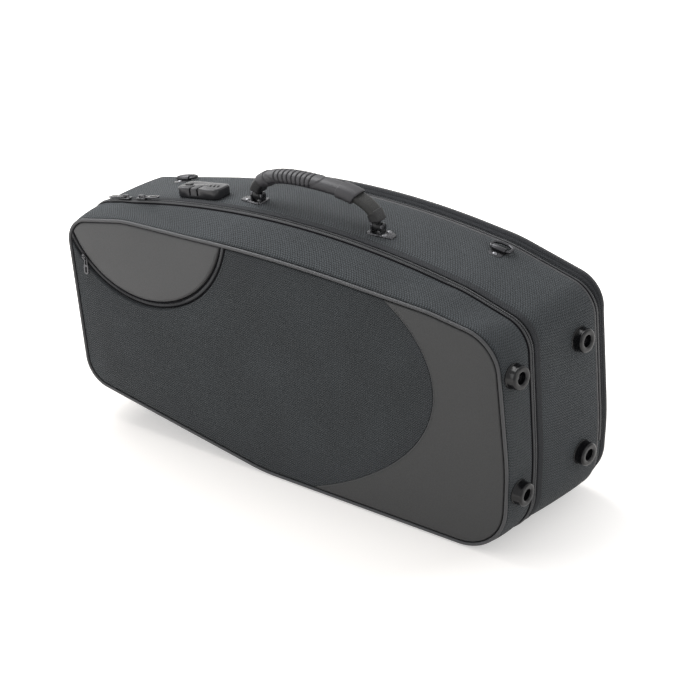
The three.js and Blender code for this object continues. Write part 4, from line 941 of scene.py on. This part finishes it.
gusset_face = pocket_near + gusset_depth
gusset = relief(rear_outline, lambda points: np.full(len(points), gusset_face), pocket_near, [2], 30)
pocket_body = relief(pad_outline, pocket_height, gusset_face - 0.3 * mm, [0.4, 1.2, 2.4, 3.8, 6], 9,
                     back_outline=rear_outline)
rear_piece = piece("rear_pocket_pad", [gusset, pocket_body], nylon, flat_weave=True)
fit(rear_piece, "base", "nylon", "rear_pocket")


def round_pocket(profile):
    """A body round the pocket's side, from shares of the way to the pad's edge and heights."""
    return shell(np.array([
        in_case(offset(rear_outline, pad_flare * share + height * mm),
                gusset_face + (pad_depth - gusset_depth) * share)
        for share, height in profile
    ]), True)


side = [(0.06, -0.6), (0.06, 0.3), (0.10, 0.7), (0.44, 0.8), (0.48, 0.2),
        (0.52, 0.2), (0.56, 0.8), (0.82, 0.7), (0.86, 0.3), (0.86, -0.6)]
part("rear_pocket_binding", [round_pocket(side)], binding_cloth, "base", "tape")
cord = [(1.02 + 0.135 * math.sin(spin), 1.6 * math.cos(spin) - 0.5) for spin in angles(12)]
part("rear_pocket_piping", [round_pocket(cord)], piping_leather, "base", "piping")
seam = offset(rear_outline, -6.5 * mm)
backwards = np.tile([0.0, 1.0, 0.0], (len(seam), 1))
seam_rows = [stitches(in_case(seam, pocket_height(seam)), backwards)]
part("rear_pocket_stitches", seam_rows, thread, "base", "tape")

corner_starts = np.cumsum(4 * arc_steps + straight_steps)
on_top = skin([rear_zip_depth])[0]
last = np.nonzero((on_top[:, 0] > rear_start + 15 * mm) & (on_top[:, 1] > case_height / 2))[0][-1]
rear_track = track(rear_zip_depth, np.arange(corner_starts[1], last + 1))


def on_gusset(lengths, *profile):
    """Rows along the rear zip, from millimetres across it and over the gusset."""
    profile = [(rear_zip_depth + across * mm, height * mm - rear_inset) for across, height in profile]
    return band(profile, lengths, rear_track)


flat = on_gusset(rear_track[1], (-3.4, -0.3), (-3.4, 0.2), (-3.1, 0.5), (-1.9, 0.6),
                 (1.9, 0.6), (3.1, 0.5), (3.4, 0.2), (3.4, -0.3))
part("rear_zip_tape", [strip(flat)], tape_cloth, "base", "tape", "rear_pocket_zip")
lengths, out = toothed(rear_track[1][-1])
low = on_gusset(lengths, (-1.3, 0.4), (-1.1, 0.8), (0, 1.0), (1.1, 0.8), (1.3, 0.4))
high = on_gusset(lengths, (-1.5, 0.4), (-1.3, 1.1), (0, 1.5), (1.3, 1.1), (1.5, 0.4))
part("rear_zip_coil", [coiled(low, high, out)], coil, "base", "tape")

# Padding inside.
# The base holds a foam tray, the lid a foam board with a shallow recess. Both are covered in short
# dark plush, which rounds the lips of their hollows.
tray_inset = wall + 1.2 * mm
tray_top, tray_back = lid_depth + 10 * mm, back_face - wall - 0.3 * mm
tray_floor_depth = tray_back - 9 * mm
lining_back, lining_top = front_face + wall + 0.3 * mm, front_face + wall + 16.3 * mm
lining_recess = 9 * mm
tray_corner, pocket_corner = 26 * mm, 14 * mm
body_hollow = [(0.075, 0.235), (0.46, 0.085), (0.955, 0.085), (0.945, 0.790), (0.70, 0.865),
               (0.555, 0.865), (0.525, 0.43), (0.075, 0.43)]
neck_hollow = [(0.085, 0.50), (0.33, 0.50), (0.33, 0.865), (0.085, 0.785)]
mouthpiece_hollow = [(0.36, 0.53), (0.49, 0.53), (0.49, 0.885), (0.36, 0.875)]
lid_hollow = [(0.33, 0.12), (0.93, 0.12), (0.92, 0.76), (0.33, 0.80)]
lip, wall_slope = 2.5 * mm, 1.2 * mm

plush_colour = (0.030, 0.032, 0.036)
plush, tree, shader = principled("short_plush", plush_colour, 0.95, Sheen_Weight=0.5, Sheen_Roughness=0.4)
pile, stroke = noise(tree, 1300.0, 4.0), noise(tree, 26.0, 5.0)
amount = mixed(tree, (pile, 0.7), (stroke, 0.9), (1.0, -0.3))
shades(tree, shader, plush_colour, amount, 0.45, pile, 0.3 * mm)


def sunk(inside, deep):
    """How far the plush lies under the face at a distance inside a hollow's edge: a rounded lip
    outside it, a steep wall, and a rounded foot."""
    lip_part = lip * (1 - np.sqrt(1 - np.clip(1 + inside / lip, 0, 1) ** 2))
    wall_part = np.clip(inside / wall_slope, 0, 1) * (deep - 2 * lip)
    return lip_part + wall_part + lip * roll(np.maximum(inside - wall_slope, 0), lip)


def cushion(name, face, back, inset, hollows):
    """A foam cushion between two depths, whose outline follows the case, with hollows in its face."""
    near, far = (offset(skin([depth])[0], -inset)[::2] for depth in (face, back))
    both = subdivided(np.concatenate([near, far], 1), 5 * mm)
    near, far = both[:, :2], both[:, 2:]
    steps = [-lip, -0.6 * lip, -0.2 * lip, 0, wall_slope, wall_slope + 0.3 * lip, wall_slope + lip]
    loops, guides = [], []
    for shares, radius, deep in hollows:
        corners = np.array(shares) * (case_length, case_height)
        loop = subdivided(rounded(corners, radius, [6] * len(corners), [1] * len(corners)), 6 * mm)
        loops.append((loop, deep))
        guides += [offset(loop, -step) for step in steps]
    sign = 1 if back > face else -1

    def surface(points):
        depth = face + sign * lip * (1 - roll(distance(points, near), lip))
        for loop, deep in loops:
            inside = distance(points, loop) * np.where(within(points, loop), 1, -1)
            depth = depth + sign * sunk(inside, deep)
        return depth

    body = relief(near, surface, back, [0.4, 1.2, 2.5], 8, guides, back_outline=far)
    pad = piece(name, [body], plush, flat_weave=True)
    return pad


tray = cushion("plush_tray", tray_top, tray_back, tray_inset, [
    (body_hollow, tray_corner, tray_floor_depth - tray_top), (neck_hollow, pocket_corner, 60 * mm),
    (mouthpiece_hollow, pocket_corner, 46 * mm),
])
fit(tray, "base", "plush", "base_insert", "tray_floor", "accessory_block")
lid_pad = cushion("plush_lid_pad", lining_top, lining_back, tray_inset, [
    (lid_hollow, tray_corner, lining_recess),
])
fit(lid_pad, "lid", "plush", "lid_lining", "lid_lining_frame")

# Feet.
# Each of the four feet on the big end is a barrel of glossy moulded plastic with a rounded rim,
# screwed to the board through its deep hole.
foot_radius, foot_height, foot_rim = 14.5, 13, 2.4
foot_hole, foot_floor = 6.5, 3.5
foot_low, foot_high = 80 * mm, 218 * mm
lid_foot_depth, base_foot_depth = 21 * mm, 134 * mm
seat_gap = 0.3 * mm
coarse_sections = [section(name, arc_steps, np.ones(9, int)) for name in ("front", "zip", "back")]


def seat(axis, value, depth):
    """A frame on the skin, at an X on top or at a height on the big end: its origin, and rows for
    its X along the outline, its Y along the depth and its Z out of the case."""
    ring, deeper = between(coarse_sections, [depth, depth + seat_gap])
    following = np.roll(ring, -1, 0)
    far = ring[:, 1 - axis] > (case_height, case_length)[axis] / 2
    i = np.nonzero(far & ((ring[:, axis] - value) * (following[:, axis] - value) <= 0))[0][0]
    j = (i + 1) % len(ring)
    share = (value - ring[i, axis]) / (ring[j, axis] - ring[i, axis])
    here, there = (row[i] + (row[j] - row[i]) * share for row in (ring, deeper))
    step = ring[i] - ring[j]
    along = unit(np.array([step[0], 0, step[1]]))
    out = unit(np.cross(along, [there[0] - here[0], seat_gap, there[1] - here[1]]))
    return in_case(here, depth), np.array([along, np.cross(out, along), out])


def seated(place, points):
    """Points in a seat's frame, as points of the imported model."""
    origin, axes = place
    return origin + points @ axes


def turned(place, profile, centre=(0, 0, 0), sides=40, bored=False):
    """A body of revolution about a seat's Z, from radii and heights in millimetres. A bored one has
    a hole right through it."""
    radius, height = np.array(profile).T[:, :, None] * mm
    angle = angles(sides)
    points = np.stack(np.broadcast_arrays(radius * np.cos(angle), radius * np.sin(angle), height), -1)
    return shell(seated(place, points + np.array(centre) * mm), bored)


def rounding(radius, height, size, start, end, steps=7):
    """Radii and heights along an arc of a given size about a point, between two angles in degrees."""
    angle = np.radians(np.linspace(start, end, steps))
    return [(radius + size * math.cos(a), height + size * math.sin(a)) for a in angle]


glossy_plastic = grained("moulded_plastic", (0.005, 0.005, 0.006), 0.6 * mm, 0.17, 0.25, 0.04,
                         Specular_IOR_Level=0.3)
plated_steel = grained("plated_steel", (0.20, 0.20, 0.21), 0.5 * mm, 0.28, 0.15, 0.05, Metallic=1.0)

foot_profile = [
    (foot_radius - 0.4, 0), (foot_radius, 0.4), (foot_radius, 1.3), (foot_radius - 0.5, 1.9),
    (foot_radius - 0.8, 2.6), (foot_radius - 1, 9.8),
    *rounding(foot_radius - 1 - foot_rim, foot_height - foot_rim, foot_rim, 0, 90),
    *rounding(foot_hole + foot_rim, foot_height - foot_rim, foot_rim, 90, 180),
    (foot_hole, foot_floor + 0.4), (foot_hole - 0.4, foot_floor),
]
foot_profile = [(radius, height + seat_gap / mm) for radius, height in foot_profile]


def honed(name, material, body, slot, width=0.3 * mm):
    """A copy of a CAD node with its corners merged, its flat faces made whole and its sharp edges
    rounded by two facets."""
    mesh = bpy.data.meshes.new(name + "_finished")
    solid = bmesh.new()
    solid.from_mesh(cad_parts[name].data)
    bmesh.ops.remove_doubles(solid, verts=solid.verts, dist=0.005 * mm)
    bmesh.ops.dissolve_limit(solid, angle_limit=math.radians(1), verts=solid.verts, edges=solid.edges)
    sharp = [edge for edge in solid.edges if edge.calc_face_angle(0) > math.radians(32)]
    bmesh.ops.bevel(
        solid, geom=sharp, offset=width, segments=2, profile=0.5, affect="EDGES", clamp_overlap=True,
    )
    bmesh.ops.recalc_face_normals(solid, faces=solid.faces)
    solid.to_mesh(mesh)
    solid.free()
    mesh.shade_smooth()
    mesh.set_sharp_from_angle(angle=math.radians(32))
    mesh.materials.append(material)
    return fit(placed(name + "_finished", mesh), body, slot, name)


for half, depth in (("lid", lid_foot_depth), ("base", base_foot_depth)):
    for level, height in (("upper", foot_high), ("lower", foot_low)):
        name = f"{half}_{level}"
        barrel = turned(seat(1, height, depth), foot_profile)
        part(f"{name}_barrel", [barrel], glossy_plastic, half, "plastic", f"{name}_foot")
        honed(f"{name}_foot_screw", plated_steel, half, "steel", 0.2 * mm)

# Handle.
# A leatherette strap runs through a moulded rubber grip with finger ribs and a collar at each end.
# It is folded round an eye at both ends, and the eyes turn on pins in two riveted steel plates.
handle_centre, handle_depth, handle_span = 297.5 * mm, 88 * mm, 163 * mm
handle_rise, arch_share = 34 * mm, 0.77
pin_height, eye_radius, eye_length = 8.5 * mm, 5, 9
lug_gap, lug_thickness, rivet_radius = 0.4, 3, 3.2
grip_length, grip_shift = 132 * mm, -10 * mm
grip_deep, grip_tall = 21 * mm, 15 * mm
collar_extra, collar_short, collar_long = 1.6 * mm, 11 * mm, 24 * mm
rib_start, rib_pitch, rib_count, rib_depth = 24 * mm, 6 * mm, 9, 1.3 * mm
strap_width, strap_thickness = 15 * mm, 3 * mm
wrap_end = 6.8 * mm
grip_colour, strap_colour = (0.036, 0.035, 0.039), (0.018, 0.018, 0.017)

plate_seats = [seat(0, handle_centre + side * handle_span / 2, handle_depth) for side in (-1, 1)]
pins = [seated(place, np.array([0, 0, pin_height])) for place in plate_seats]
pin_line = pins[1] - pins[0]
half_span = np.linalg.norm(pin_line) / 2
lean = math.atan2(pin_line[2], pin_line[0])
handle_frame = (pins[0] + pins[1]) / 2, np.array([
    [math.cos(lean), 0, math.sin(lean)], [0, 1, 0], [-math.sin(lean), 0, math.cos(lean)],
])
eye_axes = handle_frame[1][[1, 2, 0]]
turn = np.linspace(np.pi, 0, 1201)
arch = np.stack([half_span * np.sign(np.cos(turn)) * np.abs(np.cos(turn)) ** arch_share,
                 handle_rise * np.abs(np.sin(turn)) ** arch_share], 1)
arch_lengths = running(arch)
arch_length = arch_lengths[-1]
grip_start = arch_length / 2 + grip_shift - grip_length / 2


def on_arch(lengths):
    return np.stack([np.interp(lengths, arch_lengths, values) for values in arch.T], -1)


def on_pin(offset_along):
    """A seat on the line through the pins, at a length from the handle's middle."""
    return handle_frame[0] + offset_along * handle_frame[1][0], eye_axes


def along_arch(lengths, wide, tall):
    """Points of the handle at lengths along its arch, moved by wide along the depth and by tall
    across the arch. The arch is an ellipse whose cosine and sine are taken to a power below one."""
    lengths, wide, tall = np.broadcast_arrays(lengths, wide, tall)
    ahead = unit(on_arch(lengths + 1 * mm) - on_arch(lengths - 1 * mm))
    middle = on_arch(lengths)
    x, z = middle[..., 0] - ahead[..., 1] * tall, middle[..., 1] + ahead[..., 0] * tall
    return seated(handle_frame, np.stack([x, wide, z], -1))


def oval(power, columns):
    """Shares of the half width and half height round an oval: a cosine and a sine to a power."""
    waves = np.cos(angles(columns)), np.sin(angles(columns))
    return [np.sign(wave) * np.abs(wave) ** power for wave in waves]


def raised(inside, height, edge):
    """A height that is reached over an edge by a smooth step of three squares less two cubes."""
    share = np.clip(inside / edge, 0, 1)
    return height * share ** 2 * (3 - 2 * share)


grip_columns, grip_tilt = 48, 0.25  # the ribs and the pad lean a little to the front
rows = np.concatenate([[0, 0.1, 0.3, 0.7], np.arange(1.2, 130.8, 0.4), [131.3, 131.7, 131.9, 132]])
along = rows[:, None] * mm
angle = angles(grip_columns)
end = np.minimum(along, grip_length - along)
collars = (raised(collar_short - along, collar_extra, 1.2 * mm)
           + raised(along - grip_length + collar_long, collar_extra, 1.2 * mm))
rib_phase = (along - rib_start - rib_pitch / 6) / rib_pitch
in_ribs = (rib_phase > -0.5) & (rib_phase < rib_count - 0.5)
over_top = raised(np.sin(angle - grip_tilt) + 0.45, 1, 0.35)
grooves = in_ribs * np.abs(np.cos(np.pi * rib_phase)) ** 14 * over_top
pad_reach = 1 - ((along - rib_start - rib_count * rib_pitch / 2 + 2 * mm) / (38 * mm)) ** 2
pad = raised(pad_reach - ((angle - np.pi / 2 - grip_tilt) / 1.9) ** 2, 0.7 * mm, 0.12)
extra = collars + pad - rib_depth * grooves - 1.4 * mm * (1 - roll(end, 1.4 * mm))
wide, tall = oval(0.8, grip_columns)
slant = 2.6 * mm * np.sin(angle) * (along / grip_length * 2 - 1)
place = grip_start + along + slant
outside = along_arch(place, wide * (grip_deep / 2 + extra), tall * (grip_tall / 2 + extra))
slot_wide, slot_tall = oval(0.3, grip_columns)
inside = along_arch(place, slot_wide * 8.6 * mm, slot_tall * 3.6 * mm)[::12][::-1]
grip_rubber, tree, shader = principled("grip_rubber", grip_colour, 0.5, Specular_IOR_Level=0.45)
fine, cloud = noise(tree, 1500.0, 4.0), noise(tree, 45.0, 4.0)
# The finger grooves are painted darker on the rubber by a mask of their depth: painted shade.
painted_groove_shade = node(tree, "Attribute", attribute_name="groove_shade_mask").outputs["Fac"]
amount = mixed(tree, (fine, 0.6), (cloud, 0.5), (painted_groove_shade, -2.2), (1.0, 0.0))
shades(tree, shader, grip_colour, amount, 0.35, fine, 0.05 * mm)
grip = piece("moulded_grip", [shell(np.concatenate([outside, inside]), True)], grip_rubber)
# Each point's depth in the grooves, kept as the mask of their painted shade.
dark = np.concatenate([grooves.ravel(), np.zeros(inside.size // 3)])
grip.data.attributes.new("groove_shade_mask", "FLOAT", "POINT").data.foreach_set("value", dark.astype(np.float32))
fit(grip, "handle", "grip", "handle_grip")

strap_leather = leatherette("strap_leatherette", strap_colour, 0.8 * mm, 0.2, 0.45)
black_sleeve = leatherette("sleeve_leatherette", (0.009, 0.009, 0.010), 0.7 * mm, 0.3, 0.4)


def wrapped(first, last, wide, tall, power=0.45):
    """A soft sleeve round the strap between two lengths, rounded over its own ends."""
    lengths = np.linspace(first, last, 40)[:, None]
    wide_share, tall_share = oval(power, 32)
    less = 1.2 * mm * (1 - roll(np.minimum(lengths - first, last - lengths), 1.2 * mm))
    return shell(along_arch(lengths, wide_share * (wide / 2 - less), tall_share * (tall / 2 - less)))


strap_from = 0.7 * eye_radius * mm
lengths = np.linspace(strap_from, arch_length - strap_from, 90)[:, None]
near = np.minimum(1, np.minimum(lengths, arch_length - lengths) / (handle_rise / 2))
wide, tall = oval(0.3, 24)
narrowed = 0.55 + 0.45 * near
band_rows = along_arch(lengths, wide * strap_width / 2 * narrowed, tall * strap_thickness / 2)
half = eye_length / 2
bush = [(2.4, -half), (4.6, -half), (5, -half + 0.4), (5, half - 0.4), (4.6, half), (2.4, half)]
eyes = [turned(on_pin(side * half_span), bush, sides=32, bored=True) for side in (-1, 1)]
part("handle_strap_band", [shell(band_rows), *eyes], black_sleeve, "handle", "tape", "handle_strap")
right_end = grip_start + grip_length - 4 * mm
sleeve = wrapped(right_end, arch_length - 15 * mm, 18.5 * mm, 10 * mm)
part("strap_sleeve", [sleeve], strap_leather, "handle", "leather")
wraps = [wrapped(arch_length - 18 * mm, arch_length - wrap_end, 17.5 * mm, 13 * mm, 0.3),
         wrapped(wrap_end, grip_start + 5 * mm, 19.5 * mm, 14 * mm)]
part("strap_end_wraps", wraps, black_sleeve, "handle", "leather")

dark_nickel = grained("dark_nickel", (0.060, 0.060, 0.064), 0.8 * mm, 0.28, 0.3, 0.05, Metallic=0.9)
# The plate's colour is spread widely in fine light and dark specks: the hammered metal's uneven tone, and
# painted glints of its facets over their raised bump.
plate_metal_with_glints = grained("hammered_plate_painted_glints", (0.066, 0.066, 0.070), 1.8 * mm, 0.22, 0.6, 0.55, Metallic=0.9)
lug_middle = eye_length / 2 + lug_gap + lug_thickness / 2


def extruded(place, outline, low, high, bevel=0.4 * mm):
    """A slab over an outline in a seat's X and Y, from one height to another, with rounded edges."""
    heights = [low, low + bevel, high - bevel, high - 0.3 * bevel, high]
    insets = [bevel, 0, 0, 0.3 * bevel, bevel]
    rows = [np.insert(offset(outline, -inset), 2, height, 1) for inset, height in zip(insets, heights)]
    return shell(seated(place, np.array(rows)))


def domed(place, centre, radius, height):
    """A rivet's head: a quarter of an ellipse turned about a point of a seat, in millimetres."""
    share = np.array([0, 0.25, 0.5, 0.72, 0.9, 1])
    profile = [(radius * math.cos(a), height * math.sin(a)) for a in share * math.radians(88)]
    return turned(place, [(radius, -0.05), *profile], centre, 24)


plate_base, plate_height = 0.6 * mm, 2.2 * mm
for side, place, word in ((-1, plate_seats[0], "left"), (1, plate_seats[1], "right")):
    corners = np.array([(-9.5, -12.5), (22.5, -6.25), (22.5, 6.25), (-9.5, 12.5)]) * mm * (side, 1)
    corners = corners if side > 0 else corners[::-1]
    outline = rounded(corners, 5 * mm, [8] * 4, [6] * 4)
    around_rivets = np.array([13.4 * side, 0]) * mm

    def plate_face(points, outline=outline, middle=around_rivets):
        boss = 1 - (((points - middle) / (np.array([6.8, 9]) * mm)) ** 2).sum(1)
        rolled = 0.4 + 0.6 * roll(distance(points, outline), 1 * mm)
        return plate_base + (plate_height + raised(boss, 0.5 * mm, 0.3)) * rolled

    slab = relief(
        outline, plate_face, plate_base, [0.3, 0.7, 1.2], 1.3,
        lay=lambda plane, height, place=place: seated(place, np.concatenate([plane, height[:, None]], 1)),
    )
    head = wheel(np.radians(np.linspace(-20, 200, 23))) * eye_radius * mm
    foot = np.array([(-4.7, -6.3), (4.7, -6.3)]) * mm
    half_lug = lug_thickness / 2 * mm
    lug = np.concatenate([head, foot])
    plate = [slab, *(
        extruded(on_pin(side * half_span + middle * mm), lug, -half_lug, half_lug, 0.35 * mm)
        for middle in (-lug_middle, lug_middle)
    )]
    part(f"handle_plate_{word}", plate, plate_metal_with_glints, "base", "dark_metal", f"anchor_plate_{word}")
    honed(f"anchor_pin_{word}", plated_steel, "base", "steel", 0.25 * mm)
    reach = lug_middle + lug_thickness / 2 + rivet_radius * 1.3
    for row, end in ((-1, "front"), (1, "back")):
        rivet = domed(place, (side * reach, row * 5, 3.1), rivet_radius, 1.6)
        name = f"rivet_{word}_{end}"
        part(f"handle_{name}", [rivet], plated_steel, "base", "steel", f"anchor_{name}")

# Combination lock.
# A cast body is riveted to the base beside the zip. Its two slots take the tips of the zip's pulls,
# and three plastic number wheels and a button free them.
lock_metal = grained("lock_casting", (0.032, 0.032, 0.035), 0.8 * mm, 0.22, 0.3, 0.06, Metallic=0.3)
honed("lock_body", lock_metal, "base", "dark_metal", 0.5 * mm)
honed("lock_dial_axle", plated_steel, "base", "steel", 0.15 * mm)
for number in (1, 2, 3):
    honed(f"lock_dial_{number}", glossy_plastic, f"lock_dial_{number}", "plastic", 0.12 * mm)
honed("lock_button", glossy_plastic, "lock_button", "plastic", 0.3 * mm)

# Rings for a shoulder strap.
# Each ring is bent from wire and closed, and turns in a clip of folded sheet that is riveted on.
ring_wire, ring_width, ring_reach, ring_bar_height = 1.8, 28, 17, 4.0
ring_depth, clip_rivet_y = 143 * mm, -13 * 0.66
for word, place_x in (("left", 64 * mm), ("right", 502 * mm)):
    place = seat(0, place_x, ring_depth)
    half, reach = ring_width / 2 - ring_wire, ring_reach - 2 * ring_wire
    corners = np.array([(-half, 0), (half, 0), (half, 0.75 * reach), (0.4 * half, reach),
                        (-0.4 * half, reach), (-half, 0.75 * reach)])
    loop = rounded(corners, 1.6 * ring_wire, [8] * 6, [10, 4, 4, 4, 4, 4])
    ahead = unit(np.roll(loop, -1, 0) - np.roll(loop, 1, 0))
    spin = angles(16)
    side = ring_wire * np.cos(spin)
    wire = np.stack([loop[:, :1] + ahead[:, 1:] * side, loop[:, 1:] - ahead[:, :1] * side,
                     np.broadcast_to(ring_bar_height + ring_wire * np.sin(spin), (len(loop), 16))], -1)
    ring, name = shell(seated(place, wire * mm), True), f"strap_ring_{word}"
    part(f"shoulder_ring_{word}", [ring], dark_nickel, name, "dark_metal", name)
    honed(f"ring_clip_{word}", dark_nickel, "base", "dark_metal", 0.3 * mm)
    rivet = domed(place, (0, clip_rivet_y, 2.1), 3, 1.6)
    part(f"clip_rivet_{word}", [rivet], plated_steel, "base", "steel", f"ring_clip_rivet_{word}")

# Zip sliders.
# Die-cast sliders with a bridge on top hold flat cast pulls. The two on the main zip can meet at
# the lock.
cast_nickel = grained("cast_nickel", (0.085, 0.085, 0.09), 0.7 * mm, 0.24, 0.3, 0.08, Metallic=0.95)
for name in ("main_left", "main_right", "rear_pocket", "front_pocket"):
    for part_name in ("slider", "pull"):
        honed(f"{name}_{part_name}", cast_nickel, f"{name}_{part_name}", "dark_metal", 0.28 * mm)
